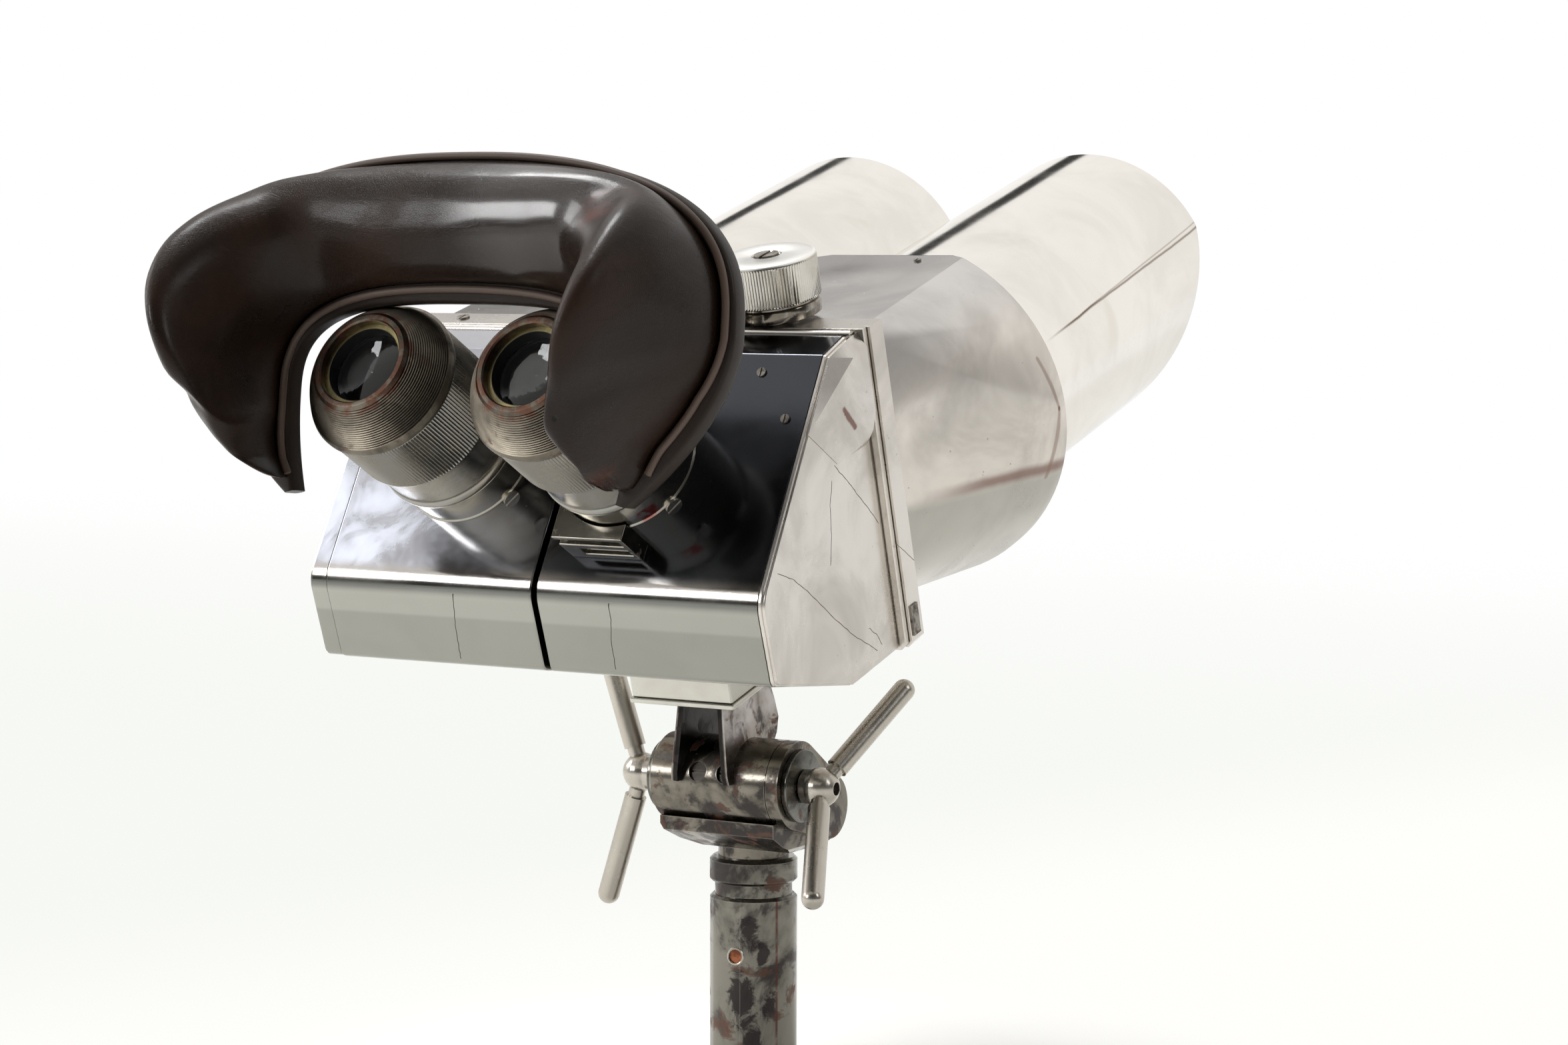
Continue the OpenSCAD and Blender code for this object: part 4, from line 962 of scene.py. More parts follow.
class Workshop:
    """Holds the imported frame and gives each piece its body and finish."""

    sharp: float = 26.0

    def __init__(self, frame: dict[str, Any]) -> None:
        """Reads the frame's nodes and slots."""
        self.nodes: dict[str, bpy.types.Object] = frame["nodes"]
        self.slots = {s["node"]: s["material_slot"] for s in frame["record"]["subparts"]}
        bodies = frame["record"]["behaviour"]["bodies"]
        self.bodies = {node: body for body, members in bodies.items() for node in members}

    @staticmethod
    def soften(piece: bpy.types.Object, angle: float) -> None:
        """Shades a piece smooth up to an angle, in degrees."""
        piece.data.shade_smooth()
        piece.data.set_sharp_from_angle(angle=math.radians(angle))

    def paint(self, finish: Finish, *nodes: str) -> None:
        """Gives CAD pieces a finish."""
        for node in nodes:
            mesh = self.nodes[node].data
            mesh.materials.clear()
            mesh.materials.append(finish.material())
            LOG.info("painted %s with %s", node, finish.name)

    def adopt(self, piece: bpy.types.Object, node: str, *more: str) -> bpy.types.Object:
        """Lets a piece stand for CAD nodes, on their body."""
        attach(piece, self.bodies[node])
        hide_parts(node, *more)
        LOG.info("built %s for %s", piece.name, ", ".join((node, *more)))
        return piece

    def add(self, piece: bpy.types.Object, body: str, slot: str) -> bpy.types.Object:
        """Adds a piece that stands for no CAD node."""
        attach(piece, body)
        LOG.info("added %s on %s", piece.name, body)
        return piece

    def round_off(self, node: str, width: float, finish: Finish, steps: int = 3) -> bpy.types.Object:
        """Replaces a CAD node by a copy of itself, its edges over the sharp angle rounded.

        Args:
            node: The CAD node.
            width: Width of the rounding, in millimetres.
            finish: The copy's finish.
            steps: Segments of the rounding.

        Returns:
            The new piece.
        """
        mesh = self.nodes[node].data.copy()
        mesh.name = node + "_rounded"
        work = bmesh.new()
        work.from_mesh(mesh)
        bmesh.ops.remove_doubles(work, verts=work.verts, dist=2e-6)
        bmesh.ops.dissolve_limit(work, angle_limit=math.radians(0.6), verts=work.verts, edges=work.edges)
        sharp = [e for e in work.edges if len(e.link_faces) == 2
                 and e.calc_face_angle(0.0) > math.radians(self.sharp)]
        bmesh.ops.bevel(work, geom=sharp, offset=width * MM, offset_type="OFFSET", segments=steps,
                        profile=0.5, affect="EDGES", clamp_overlap=True, miter_outer="ARC")
        work.to_mesh(mesh)
        work.free()
        made = bpy.data.objects.new(mesh.name, mesh)
        bpy.context.scene.collection.objects.link(made)
        mesh.materials.clear()
        mesh.materials.append(finish.material())
        self.soften(made, 40)
        weigh = made.modifiers.new("normals", "WEIGHTED_NORMAL")
        weigh.keep_sharp = True
        weigh.weight = 100
        return self.adopt(made, node)


# Sub-assemblies


class Side(Enum):
    """The observer's side of a doubled piece."""

    RIGHT = 1
    LEFT = -1

    @property
    def word(self) -> str:
        """The side's name in the pieces' names."""
        return self.name.lower()


@dataclass
class Stand:
    """Post, tilt head, clamps, fork and foot."""

    shop: Workshop
    edge: float = 0.8
    plug_z: float = 54.4
    steel: Finish = PostSteel("worn_post_steel", tone=(0.205, 0.195, 0.168),
                              rusty=0.7, stained=0.8, scale=1.0, shiny=0.17)
    head: Finish = WornSteel("worn_head_steel", tone=(0.20, 0.182, 0.152),
                             rusty=0.9, stained=0.9, scale=1.3, shiny=0.18)
    pale: Finish = ForkSteel("mottled_fork_steel", tone=(0.29, 0.26, 0.23),
                             rusty=0.8, stained=0.8, scale=1.6, shiny=0.26)
    dark: Finish = WornSteel("dark_washer_steel", tone=(0.20, 0.20, 0.18),
                             rusty=0.35, stained=0.55, shiny=0.18)
    # painted shade: the fork screws, down in the gap, are made near black
    screw: Finish = WornSteel("fork_screw_steel", tone=(0.05, 0.045, 0.04), rusty=0.6, shiny=0.36)
    plug: Finish = Plain("copper_plug", tone=(0.42, 0.16, 0.08), second=(0.20, 0.07, 0.04), metal=1.0)
    plate: Finish = Nickel("satin_nickel_levers", tone=(0.47, 0.44, 0.39), gloss=0.24, tarnish=0.10)
    foot: Finish = PolishedMetal("foot_metal", gloss=0.24, pits=0.3, tone=(0.56, 0.56, 0.50))

    def build(self) -> None:
        """Dresses the stand."""
        shop = self.shop
        shop.round_off("post", 0.5, self.steel)
        shop.paint(self.plug, "post_plug")
        turn = Matrix.Rotation(math.radians(6), 4, "Z") @ Matrix.Rotation(math.radians(90), 4, "X")
        outline = [(2.62, 15.9), (2.62, 16.55), (2.9, 16.75), (3.3, 16.7), (3.5, 16.4), (3.5, 15.9)]
        ring = Shape(turn).lathe(outline, 40)
        ring.points = [(x, y + self.plug_z, z) for x, y, z in ring.points]
        shop.add(ring.piece("plug_ring", self.plate), "stand", "satin_steel")
        shop.round_off("tilt_head", self.edge, self.head)
        shop.paint(self.dark, "tilt_bolt")
        shop.round_off("friction_washers", 0.4, self.dark)
        for side in Side:
            shop.round_off(f"clamp_hub_{side.word}", 0.6, self.plate)
            shop.paint(self.plate, f"clamp_arms_{side.word}")
        shop.round_off("tilt_barrel", 0.9, self.head)
        shop.round_off("fork", 0.6, self.pale)
        shop.paint(self.screw, "fork_screws")
        shop.round_off("foot_block", 0.7, self.foot)
        shop.round_off("foot_plate", 0.5, self.foot)


@dataclass
class Body:
    """Prism housings, covers, flanges, drums and their small screws."""

    shop: Workshop
    edge: float = 1.3
    plate_u: float = 90.4
    flange_u: float = 94.4
    above: float = 0.03
    seam_out: float = 0.05
    rear_slope: float = 0.05
    plate_lines: Lines = (
        ((-121.6, 18.7), (-114.5, 10.7), (-109.5, 4.6), (-102.8, -3.3), (-97.5, -10.6)),
        ((-124.4, 14.2), (-128.1, 6.8), (-129.9, -3.4), (-133.3, -13.0)),
        ((-167.5, -2.8), (-158.6, -8.3), (-151.8, -14.2), (-145.2, -21.0), (-135.2, -31.5),
         (-126.6, -39.9), (-115.6, -48.8), (-110.1, -53.2)),
        ((-114.0, -43.2), (-108.6, -48.1), (-106.3, -52.4)))
    flange_line: Line = ((-94.0, -19.5), (-90.0, -23.2), (-86.2, -26.8), (-83.2, -29.6))
    rear_lines: Lines = (
        ((-33.6, -12.0), (-34.1, -16.5), (-35.3, -24.0), (-35.7, -31.5), (-35.9, -36.7)),
        ((30.1, -12.0), (29.9, -17.8), (28.4, -26.5), (28.0, -36.5)))
    housing: Finish = PanelMetal("housing_metal", gloss=0.09, clouds=0.10, pits=0.12)
    plate: Finish = PolishedMetal("side_plate_metal", gloss=0.22, tone=(0.68, 0.645, 0.60), pits=0.8)
    ear: Finish = EarMetal("ear_cover_metal", gloss=0.20, tone=(0.68, 0.65, 0.61), pits=0.8)
    drum: Finish = DrumMetal("drum_metal", gloss=0.11, clouds=0.10, pits=0.75, tone=(0.70, 0.655, 0.605))
    crack: Finish = Plain("crack_line", tone=(0.035, 0.028, 0.022), second=(0.10, 0.07, 0.05), gloss=0.6)
    screw: Finish = Plain("screw_metal", tone=(0.30, 0.28, 0.25), second=(0.08, 0.06, 0.05), metal=1.0)
    bracket: Finish = WornSteel("bracket_steel", tone=(0.26, 0.245, 0.21), rusty=0.45, stained=0.3, shiny=0.2)
    glass: Finish = Plain("prism_glass", tone=(0.30, 0.33, 0.35), second=(0.24, 0.27, 0.29), gloss=0.05)

    def build(self) -> None:
        """Dresses the body."""
        shop = self.shop
        for side in Side:
            shop.round_off(f"prism_housing_{side.word}", self.edge, self.housing)
            cover = self.housing if side is Side.LEFT else self.plate
            shop.round_off(f"side_plate_{side.word}", self.edge + 0.6, cover)
            shop.round_off(f"flange_{side.word}", 0.8, self.plate)
            shop.round_off(f"drum_{side.word}", 0.9, self.drum)
        shop.round_off("ear_covers", 0.8, self.ear, steps=2)
        shop.paint(self.plate, "top_ribs")
        shop.round_off("slot_bracket", 0.4, self.bracket)
        shop.paint(self.screw, "cover_screws", "corner_latch", "knob_screw")
        shop.paint(self.glass, "prism_right", "prism_left")
        self.cracks()

    def cracks(self) -> None:
        """Lays hairline cracks on the side plate, the flange and the lower rear faces."""
        plate, flange = self.plate_u + self.above, self.flange_u + self.above
        shape = Shape(SCOPE)
        for path in self.plate_lines:
            fine = self.wander([(plate, v, w) for v, w in path], (0, 0.35, 0.35), 5)
            shape.ribbon(fine, lambda k: 0.16 + 0.10 * abs(math.sin(k * 1.9)), (1, 0, 0))
        fine = self.wander([(flange, v, w) for v, w in self.flange_line], (0, 0.3, 0.3), 5)
        shape.ribbon(fine, lambda k: 0.2, (1, 0, 0))
        self.shop.add(shape.piece("plate_cracks", self.crack), "scope", "black_paint")
        rear = Shape(SCOPE)
        for path in self.rear_lines:
            line = [(u, REAR_V - self.seam_out + self.rear_slope * (PANEL_W - w), w) for u, w in path]
            rear.ribbon(self.wander(line, (0.25, 0, 0.1), 5), lambda k: 0.22, (0, -1, 0))
        self.shop.add(rear.piece("rear_seams", self.crack), "scope", "black_paint")

    @staticmethod
    def wander(path: Sequence[Point], sway: Point, between: int) -> list[Point]:
        """Adds points between those of a path, a little off its line.

        Args:
            path: The path's points.
            sway: How far each direction may stray.
            between: Points for each length of the path.

        Returns:
            The finer path.
        """
        found: list[Point] = []
        for k in range(len(path) - 1):
            a, b = Vector(path[k]), Vector(path[k + 1])
            for j in range(between):
                p = a.lerp(b, j / between)
                off = noise.noise_vector(p * 0.9)
                found.append(tuple(p + Vector(off[i] * sway[i] for i in range(3))))
        found.append(path[-1])
        return found


@dataclass
class Tubes:
    """Sunshades, seals, objective tubes and lenses."""

    shop: Workshop
    inner: Finish = Plain("tube_black", tone=(0.010, 0.010, 0.010), second=(0.022, 0.021, 0.020), gloss=0.65)
    rubber: Finish = Plain("seal_rubber", tone=(0.015, 0.015, 0.015), second=(0.030, 0.028, 0.026), gloss=0.5)
    cell: Finish = Plain("cell_grey", tone=(0.11, 0.11, 0.11), second=(0.06, 0.06, 0.06), metal=1.0)

    def build(self) -> None:
        """Dresses the tubes."""
        for side in Side:
            shade = ShadeMetal(f"sunshade_metal_{side.word}", gloss=0.07, clouds=0.05, pits=0.10,
                               tone=(0.86, 0.83, 0.78), dull=(0.78, 0.75, 0.70), side=side.value)
            self.shop.round_off(f"sunshade_{side.word}", 0.35, shade, steps=2)
            self.shop.paint(self.inner, f"objective_tube_{side.word}")
            self.shop.paint(Glass("objective_glass", cast=(0.90, 0.93, 0.96)), f"objective_lens_{side.word}")
        self.shop.paint(self.rubber, "seal_rings")
        self.shop.paint(self.cell, "objective_cells")


@dataclass
class FilterDrive:
    """Filter knob with its knurl, and the wheels inside."""

    shop: Workshop
    radius: float = 17.4
    height: float = 21.3
    ring_h: float = 5.0
    foot_in: float = 0.4
    paint_t: float = 0.06
    teeth: int = 104
    depth: float = 0.55
    metal: Finish = KnobMetal("knob_nickel", tone=(0.62, 0.60, 0.56), gloss=0.14, tarnish=0.6)
    red: Finish = Plain("red_paint", tone=(0.42, 0.02, 0.025), second=(0.20, 0.015, 0.02), gloss=0.35)
    inner: Finish = Plain("drive_steel", tone=(0.32, 0.31, 0.29), second=(0.2, 0.19, 0.18), metal=1.0)

    def profile(self) -> list[tuple[float, float]]:
        """Outline of the knob, as radius and height."""
        r, h, s = self.radius, self.height, self.ring_h
        foot = r - self.foot_in
        return [(3.05, 0.0), (r - 0.9, 0.0), (r - 0.5, 0.3), (foot, 0.8), (foot, s - 0.8),
                (r - 0.6, s - 0.3), (r - 1.3, s), (r - 1.3, s + 0.5), (r - 0.9, s + 0.7),
                (r - 0.1, s + 1.1), (r, s + 1.5), (r, h - 1.9), (r - 0.15, h - 1.2), (r - 0.6, h - 0.5),
                (r - 1.3, h - 0.1), (r - 1.9, h), (5.4, h), (4.9, h - 0.25), (4.6, h - 0.9),
                (4.5, h - 1.4), (3.05, h - 1.4)]

    def build(self) -> None:
        """Builds the knob and dresses the drive."""
        low, high = self.ring_h + 1.2, self.height - 1.4
        ridge = knurl(self.teeth, self.depth, lambda r, z: low < z < high)
        knob = Shape(knob_place()).lathe(self.profile(), self.teeth * 4, ridge)
        self.shop.adopt(knob.piece("knurled_knob", self.metal, 35), "filter_knob")
        r = self.radius - self.foot_in + self.paint_t
        rings = []
        for k in range(9):
            turn = math.radians(-158 + k * 2.6)
            rings.append([(r * math.cos(turn), r * math.sin(turn), z) for z in (0.9, 2.4, self.ring_h - 0.9)])
        mark = Shape(knob_place()).loops(rings, close_rings=False)
        self.shop.add(mark.piece("knob_red_mark", self.red), "filter_knob", "black_paint")
        self.shop.paint(self.inner, "knob_shaft", "filter_wheel_right", "filter_wheel_left", "wheel_pins")


@dataclass
class Eyepiece:
    """One eyepiece: base, knurled focusing ring, turned eyecup, cell and lens."""

    shop: Workshop
    side: Side
    ring_r: float = 27.0
    ring_z0: float = 24.8
    ring_z1: float = 68.0
    knurl_h: float = 24.5
    cup_z1: float = 84.2
    cup_top_r: float = 17.2
    bore_r: float = 15.05
    sleeve_r: float = 23.05
    teeth: int = 150
    depth: float = 0.55
    grooves: int = 18
    groove_d: float = 0.36
    crown: float = 0.75
    knurled: Finish = Nickel("ring_nickel", tone=(0.29, 0.285, 0.265), gloss=0.21, tarnish=0.6)

    def ring_profile(self) -> list[tuple[float, float]]:
        """Outline of the focusing ring."""
        r, a, b = self.ring_r, self.ring_z0, self.ring_z1
        k = b - self.knurl_h
        return [(self.sleeve_r, a), (r - 1.6, a), (r - 0.9, a + 0.3), (r - 0.7, a + 0.9), (r - 0.7, a + 2.8),
                (r - 1.0, a + 3.3), (r - 1.6, a + 3.6), (r - 1.5, k - 3.4), (r - 1.2, k - 1.0),
                (r - 0.6, k - 0.4), (r - 0.3, k - 0.1), (r, k + 0.7), (r, b - 1.2),
                (r - 0.3, b - 0.6), (r - 0.9, b), (self.sleeve_r, b)]

    def cup_profile(self) -> list[tuple[float, float]]:
        """Outline of the eyecup: a rim, a cone cut with fine grooves, and a plain band."""
        r, z, top = self.ring_r, self.ring_z1, self.cup_z1
        low, high = Vector((r - 0.1, z + 3.6)), Vector((self.cup_top_r + 1.0, top - 1.1))
        way = high - low
        out = Vector((way.y, -way.x)).normalized()
        found = [(self.sleeve_r, z), (r - 0.2, z), (r + 0.4, z + 0.4), (r + 0.6, z + 0.9),
                 (r + 0.6, z + 2.0), (r + 0.3, z + 2.8)]
        for k in range(self.grooves * 2 + 1):
            t = k / (self.grooves * 2)
            crown = self.crown * math.sin(math.pi * t)
            p = low + way * t + out * (crown - (self.groove_d if k % 2 else 0.0))
            found.append((p.x, p.y))
        found += [(self.cup_top_r + 0.5, top - 0.6), (self.cup_top_r - 0.1, top - 0.1),
                  (self.cup_top_r - 0.8, top), (self.bore_r + 0.5, top), (self.bore_r, top - 0.5),
                  (self.bore_r, z + 2.0), (self.sleeve_r, z + 2.0)]
        return found

    def build(self) -> None:
        """Builds and dresses the eyepiece."""
        word, place = self.side.word, eye_place(self.side.value)
        low, high = self.ring_z1 - self.knurl_h + 0.65, self.ring_z1 - 1.15
        ridge = knurl(self.teeth, self.depth, lambda r, z: r > self.ring_r - 0.1 and low <= z <= high)
        ring = Shape(place).lathe(self.ring_profile(), self.teeth * 4, ridge)
        self.shop.adopt(ring.piece(f"knurled_ring_{word}", self.knurled, 35), f"focus_ring_{word}")
        cup = Shape(place).lathe(self.cup_profile(), 160)
        cone = TurnedSteel(f"turned_cup_steel_{word}", side=self.side.value, grooves=self.grooves)
        self.shop.adopt(cup.piece(f"turned_eyecup_{word}", cone, 24), f"eyecup_{word}")
        base = EyeMetal(f"base_metal_{word}", tone=(0.36, 0.355, 0.325),
                        gloss=0.12, tarnish=0.6, side=self.side.value)
        self.shop.round_off(f"eye_base_{word}", 0.35, base, steps=2)
        self.shop.paint(CellMetal(f"cell_brass_{word}", side=self.side.value), f"eye_cell_{word}")
        self.shop.paint(Glass("eye_glass"), f"eye_lens_{word}")


@dataclass
class Headrest:
    """Leather-covered band, welt and cushion, with the support and clamp behind them."""

    shop: Workshop
    half: float = 105.0
    top: float = 66.5
    wide: float = 8.0
    tip: float = -47.0
    tip_in: float = 37.0
    arch_top: float = 17.6
    arch_w: float = 68.0
    arch_foot: float = -15.0
    tip_q: float = 1.8
    tip_len: float = 0.2
    band_t: float = 8.0
    brow_h: float = 18.0
    temple_h: float = 60.0
    pad_in: float = 6.5
    top_in: float = 2.8
    welt_r: float = 1.3
    stations: int = 90
    steps: int = 44
    skin: Finish = Leather("cushion_leather")
    fold_at: Point = (71, 47, 33)
    fold_way: Point = (0.35, -0.65, 0.67)
    chew_at: Point = (67.3, -41, 18)
    band_skin: Finish = Leather("band_leather", tone=(0.017, 0.0115, 0.0085),
                                worn=(0.029, 0.019, 0.0135), gloss=0.38, crease=0.5)
    welt_skin: Finish = Leather("welt_leather", tone=(0.005, 0.0035, 0.0028),
                                worn=(0.013, 0.0075, 0.0055), gloss=0.42, crease=0.2)

    @staticmethod
    def power(x: float, n: float) -> float:
        """Power that keeps a small negative at zero."""
        return max(0.0, x) ** n

    @staticmethod
    def ease(t: float) -> float:
        """Smooth step from 0 to 1."""
        c = min(1.0, max(0.0, t))
        return c * c * (3 - 2 * c)

    def outer(self, q: float, m: float) -> Vector:
        """Outer outline at station q, inset by m."""
        a = math.radians(90 * q)
        if q <= 1:
            return Vector(((self.half - m) * self.power(math.sin(a), 0.84),
                           self.wide + (self.top - m - self.wide) * self.power(math.cos(a), 0.72)))
        return Vector((self.half - m - (self.tip_in - 0.4 * m) * (q - 1) ** 1.8,
                       self.wide + (self.tip + m - self.wide) * (q - 1)))

    def inner(self, q: float, m: float) -> Vector:
        """Inner outline at station q, inset by m."""
        a, foot = math.radians(90 * q), self.arch_foot
        if q <= 1:
            return Vector(((self.arch_w + m) * self.power(math.sin(a), 0.66),
                           foot + (self.arch_top + m - foot) * self.power(math.cos(a), 0.66)))
        return Vector((self.arch_w + m - (4 + 0.2 * m) * (q - 1) ** 2,
                       foot + (self.tip + 1 + m - foot) * (q - 1)))

    def foot_out(self, q: float) -> float:
        """Inset of the cushion's foot from the band's outer edge."""
        return (self.top_in + (self.pad_in - self.top_in) * min(q / 1.4, 1.0) ** 2) * self.share(q)

    def foot_in(self, q: float) -> float:
        """Inset of the cushion's foot from the band's inner edge."""
        return (self.pad_in - 3 * min(q / 0.8, 1.0) + 2 * self.ease((q - 1) / 0.6)) * self.share(q)

    def share(self, q: float) -> float:
        """Share of the insets that is left towards the tips."""
        return 1 - 0.65 * self.ease((q - 1.7) / 0.25)

    def height(self, x: float, y: float) -> float:
        """Height of the cushion's crest over the band at a place."""
        share = self.ease((abs(x) - self.arch_w + 22) / 34)
        m = self.wide - 7
        span = self.top - 9 if y > m else m - self.tip
        temple = self.temple_h * (1 - min(1.0, abs(y - m) / span) ** 2.4)
        return self.brow_h + (max(self.brow_h * 0.8 if y > 0 else 3.0, temple) - self.brow_h) * share

    def crest(self, q: float) -> float:
        """Share of the width at which the crest lies."""
        if q <= 0.5:
            return 0.5 + 0.25 * self.ease(2 * q)
        if q <= 1.2:
            return 0.75 - 0.87 * self.ease((q - 0.5) / 0.7)
        return -0.12 - 0.14 * self.ease((q - 1.2) / 0.7)

    def places(self) -> list[float]:
        """Stations from the left tip to the right one, closer at the tips."""
        half = [self.tip_q * i / self.stations for i in range(self.stations + 1)]
        half += [self.tip_q + self.tip_len * math.sin(math.radians(10 * k)) for k in range(1, 10)]
        return [-q for q in reversed(half[1:])] + half

    def cushion(self) -> bpy.types.Object:
        """Builds the cushion."""
        rings = []
        for q in self.places():
            s, b = (-1 if q < 0 else 1), abs(q)
            a = min(b, 1.7 + 0.75 * (b - 1.7))
            past = max(0.0, b - self.tip_q) / self.tip_len
            tip = math.sqrt(max(0.03, 1 - past ** 2))
            n = self.inner(a, self.foot_in(a))
            d = self.outer(a, self.foot_out(a)) - n
            c = self.crest(a)
            crest = n + d * c
            h = self.height(crest.x, crest.y)
            ring = []
            for k in range(self.steps + 1):
                u = -math.cos(math.pi * k / self.steps)
                rise = math.sqrt(max(0.0, 1 - abs(u) ** 2.4))
                x = 0.5 + 0.5 * u + (c - 0.5) * rise
                if past > 0:
                    x = 0.5 + (x - 0.5) * (0.8 + 0.2 * tip)
                p, f = n + d * x, n + d * max(0.0, x)
                z = (h + self.height(f.x, f.y)) / 2 * rise * math.sqrt(tip)
                ring.append((s * p.x, p.y, self.band_t + z))
            rings.append(ring)
        shape = Shape(REST).loops(rings, caps=True)
        pad = shape.piece("leather_cushion", self.skin, 180)
        self.relax(pad, 5)
        self.rumple(pad)
        return pad

    def relax(self, piece: bpy.types.Object, rounds: int) -> None:
        """Smooths a soft piece's faces a little, its foot kept."""
        work = bmesh.new()
        work.from_mesh(piece.data)
        back = REST.inverted()
        free = [v for v in work.verts if (back @ v.co).z > (self.band_t + 1.5) * MM]
        for _ in range(rounds):
            bmesh.ops.smooth_vert(work, verts=free, factor=0.5,
                                  use_axis_x=True, use_axis_y=True, use_axis_z=True)
        work.to_mesh(piece.data)
        work.free()

    def rumple(self, piece: bpy.types.Object) -> None:
        """Presses shallow dents and pulls into the leather."""
        piece.data.update()
        back = REST.inverted()
        way = Vector(self.fold_way)
        normals = [v.normal.copy() for v in piece.data.vertices]
        for v, out in zip(piece.data.vertices, normals):
            p = (back @ v.co) * 1000
            lift = min(1.0, max(0.0, (p.z - self.band_t - 2) / 8))
            wave = noise.noise(Vector((p.x * 0.022, p.y * 0.035, p.z * 0.03)))
            wave += noise.noise(Vector((p.x * 0.06 + 7, p.y * 0.09, p.z * 0.06))) * 0.30
            fold = p - Vector(self.fold_at)
            along = fold.dot(way)
            across = (fold - way * along).length
            wave -= 1.5 * math.exp(-(along / 15) ** 2 - (across / 6) ** 2)
            chew = (p - Vector(self.chew_at)).length
            wave -= 1.3 * math.exp(-(chew / 5) ** 2) * (0.5 + abs(noise.noise(p * 0.8)) * 3)
            v.co += out * wave * lift * MM

    def band(self) -> bpy.types.Object:
        """Builds the covered band."""
        rings = []
        r = 1.6
        low, high = r, self.band_t - r
        for q in self.places():
            s, a = (-1 if q < 0 else 1), abs(q)
            o, n = self.outer(a, 0), self.inner(a, 0)
            d = (o - n).normalized()
            near, far = n + d * r, o - d * r
            ring = []
            for corner, z, turns in ((near, low, (180, 225, 270)), (far, low, (270, 315, 360)),
                                     (far, high, (0, 45, 90)), (near, high, (90, 135, 180))):
                for t in turns:
                    p = corner + d * (r * math.cos(math.radians(t)))
                    ring.append((s * p.x, p.y, z + r * math.sin(math.radians(t))))
            rings.append(ring)
        return Shape(REST).loops(rings, caps=True).piece("leather_band", self.band_skin, 60)

    def welts(self) -> bpy.types.Object:
        """Builds the welt along both sides of the cushion's foot."""
        shape = Shape(REST)
        lay, level = self.welt_r + 0.7, self.band_t + self.welt_r * 0.75
        for side in (self.outer, self.inner):
            path = []
            for q in self.places():
                a = abs(q)
                if a < 1.86:
                    foot = self.foot_out(a)
                    if side == self.inner:
                        foot = self.foot_in(a) - self.ease((a - 1) / 0.6)
                    p = side(a, max(0.6, foot - lay))
                    sag = noise.noise(Vector((q * 9, 0, 3))) * 0.15
                    path.append(Vector((p.x if q >= 0 else -p.x, p.y, level + sag)))
            shape.tube(path, self.welt_r, 10)
        return shape.piece("leather_welt", self.welt_skin, 60)

    def build(self) -> None:
        """Builds and dresses the headrest."""
        shop = self.shop
        shop.adopt(self.cushion(), "headrest_pad")
        shop.adopt(self.band(), "headrest_band")
        shop.adopt(self.welts(), "headrest_welt")
        dark = WornSteel("support_steel", tone=(0.20, 0.20, 0.19), rusty=0.3, stained=0.5)
        shop.round_off("headrest_support", 0.5, dark)
        shop.round_off("headrest_clamp", 0.9, PolishedMetal("clamp_metal", gloss=0.22, pits=0.3))
        nickel = Nickel("screw_nickel", tone=(0.80, 0.77, 0.70), tarnish=0.2)
        shop.paint(nickel, "clamp_thumbscrew", "base_screws")


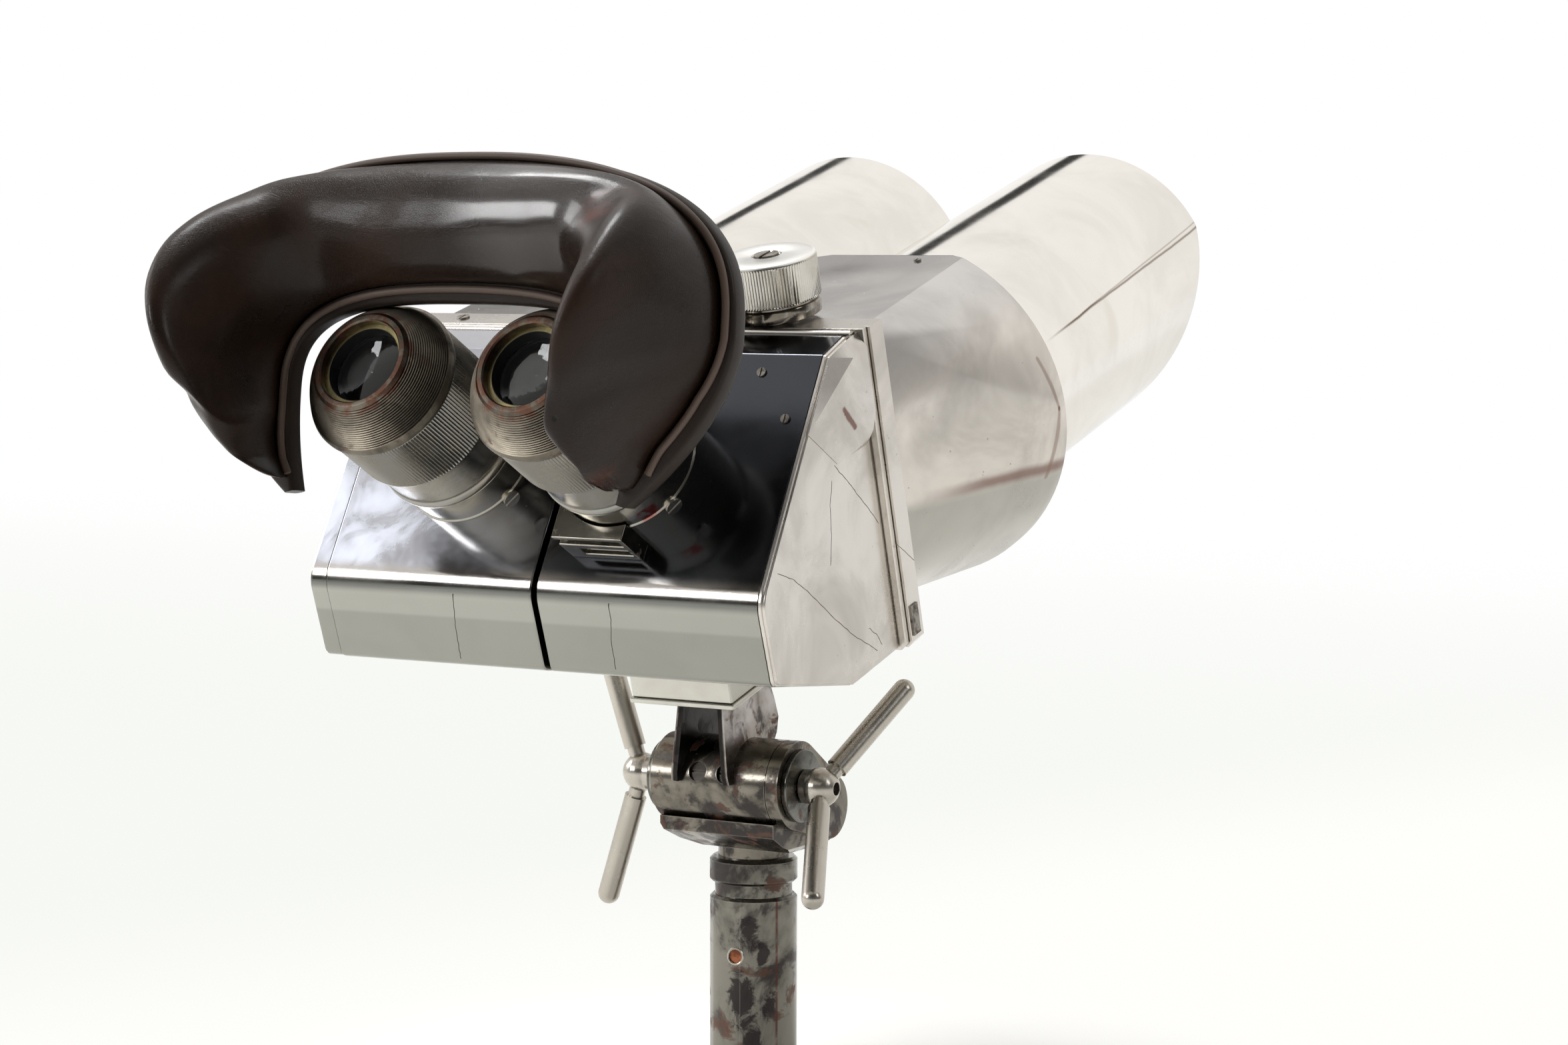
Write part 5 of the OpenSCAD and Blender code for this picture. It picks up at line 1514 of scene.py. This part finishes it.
@dataclass
class Studio:
    """Floor, light and camera."""

    reach: float = 6.0
    centre: Point = (0, -0.05, 0.25)
    lamps: tuple[tuple[str, Point, float, float, float, float], ...] = (
        ("left", (-0.95, -0.22, 0.42), 1.6, 0.55, 0.80, 7.0),
        ("top", (-0.40, 0.10, 0.92), 1.6, 0.50, 0.40, 11.0),
        ("right", (0.95, -0.05, 0.55), 1.9, 0.40, 0.80, 4.0),
        ("front", (-0.56, -0.78, 0.28), 1.8, 0.54, 0.46, 9.5))

    def floor(self) -> None:
        """Lays a pale floor that ends in white, greyer and greener on its left as painted shade."""
        bpy.ops.mesh.primitive_circle_add(vertices=96, radius=self.reach, fill_type="NGON")
        floor = bpy.context.object
        floor.name = "pale_floor"
        floor.location.z = -0.0005
        graph = Graph("pale_floor_paper")
        x, y, _ = graph.local(WORLD)
        reach = graph.distance(x, y)
        grain = graph.noise(30, 3, 0.5)
        graph.set(base_color=graph.mix(grain * 0.25, (0.95, 0.95, 0.93), (0.92, 0.92, 0.90)), roughness=0.8)
        # painted shade: the white is greyer and greener towards the left
        left = graph.step(x * 0.9 - y * 0.3, -120.0, -520.0)
        painted_shade_tint = graph.mix(left, (1.0, 0.995, 0.965), (0.925, 0.94, 0.90))
        painted_shade_tint = graph.mix(graph.step(y, 600.0, 2600.0), painted_shade_tint, (1.0, 1.0, 1.0))
        white = graph.node("ShaderNodeEmission", None, {"Color": painted_shade_tint, "Strength": 1.0})
        path = graph.node("ShaderNodeLightPath")
        bent = graph.maths("ADD", Value(graph, path.outputs["Is Glossy Ray"]),
                           Value(graph, path.outputs["Is Transmission Ray"]), clamp=True)
        seen = (Value(graph, path.outputs["Is Camera Ray"]) * graph.step(reach, 45.0, 230.0)
                + bent * graph.step(reach, 500.0, 2400.0))
        paper = graph.shader.outputs[0]
        mixed = graph.node("ShaderNodeMixShader", None, {0: seen, 1: paper, 2: white.outputs[0]})
        graph.tree.links.new(mixed.outputs[0], graph.output.inputs[0])
        floor.data.materials.append(graph.material)

    def world(self) -> None:
        """Surrounds the scene with a bright half ahead, a card over the panels and a dim room behind."""
        world = bpy.data.worlds.new("studio")
        bpy.context.scene.world = world
        graph = Graph.of_world(world)
        output = graph.node("ShaderNodeOutputWorld")
        way = graph.node("ShaderNodeTexCoord").outputs["Generated"]
        parts = graph.node("ShaderNodeSeparateXYZ", None, {0: way})
        x, y, z = (Value(graph, parts.outputs[k]) for k in range(3))
        ahead = graph.step(y * 0.866 - x * 0.5, -0.30, 0.25)
        stripe = graph.within(z, 0.335, 0.475, 0.010) * graph.step(x, -0.30, -0.42) * graph.step(y, 0.35, 0.5)
        high = graph.step(z, 0.74, 0.84) * graph.step(y, -0.45, -0.2)
        card = graph.step(x * -0.54 - y * 0.46 + z * 0.70, 0.84, 0.95)
        level = graph.maths("ADD", ahead * 0.93 + high * 0.6, card * 0.62 + 0.09, clamp=True)
        level = level * (1 - stripe * 0.97)
        lit = graph.node("ShaderNodeBackground", None, {"Color": (1.0, 0.985, 0.96), "Strength": level})
        white = graph.node("ShaderNodeBackground", None, {"Color": (1, 1, 1), "Strength": 1.0})
        path = graph.node("ShaderNodeLightPath")
        mixed = graph.node("ShaderNodeMixShader", None,
                           {0: path.outputs["Is Camera Ray"], 1: lit.outputs[0], 2: white.outputs[0]})
        graph.tree.links.new(mixed.outputs[0], output.inputs[0])

    def lamp(self, name: str, way: Point, reach: float, wide: float, high: float, power: float) -> None:
        """Hangs a soft area lamp that faces the object.

        Args:
            name: The lamp's name.
            way: Direction from the object to the lamp.
            reach: Distance in metres.
            wide: Width in metres.
            high: Height in metres.
            power: Watts.
        """
        data = bpy.data.lights.new(name, "AREA")
        data.shape, data.size, data.size_y, data.energy = "RECTANGLE", wide, high, power
        made = bpy.data.objects.new(name, data)
        centre = Vector(self.centre)
        made.location = centre + Vector(way).normalized() * reach
        made.rotation_euler = (centre - made.location).to_track_quat("-Z", "Y").to_euler()
        bpy.context.scene.collection.objects.link(made)

    def camera(self) -> None:
        """Sets the camera at the photograph's viewing angle."""
        data = bpy.data.cameras.new("camera")
        data.sensor_fit, data.sensor_width = "HORIZONTAL", SENSOR
        data.lens = FOCAL_PX * SENSOR / PICTURE_PX
        made = bpy.data.objects.new("camera", data)
        bpy.context.scene.collection.objects.link(made)
        right, back = Vector(CAMERA_RIGHT).normalized(), Vector(CAMERA_BACK)
        back = (back - right * back.dot(right)).normalized()
        turn = Matrix((right, back.cross(right), back)).transposed().to_4x4()
        made.matrix_world = Matrix.Translation(CAMERA_AT) @ turn
        bpy.context.scene.camera = made

    def build(self) -> None:
        """Sets the studio."""
        self.floor()
        self.world()
        for name, *rest in self.lamps:
            self.lamp(f"softbox_{name}", *rest)
        view = bpy.context.scene.view_settings
        view.view_transform = "Standard"
        LOG.info("studio set")


def main() -> None:
    """Builds the scene: camera and studio, then each sub-assembly in order."""
    logging.basicConfig(level=logging.INFO, format="%(message)s")
    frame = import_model()
    shop = Workshop(frame)
    studio = Studio()
    studio.camera()
    studio.build()
    Stand(shop).build()
    Body(shop).build()
    Tubes(shop).build()
    FilterDrive(shop).build()
    for side in Side:
        Eyepiece(shop, side).build()
    Headrest(shop).build()


if __name__ == "__main__":
    main()
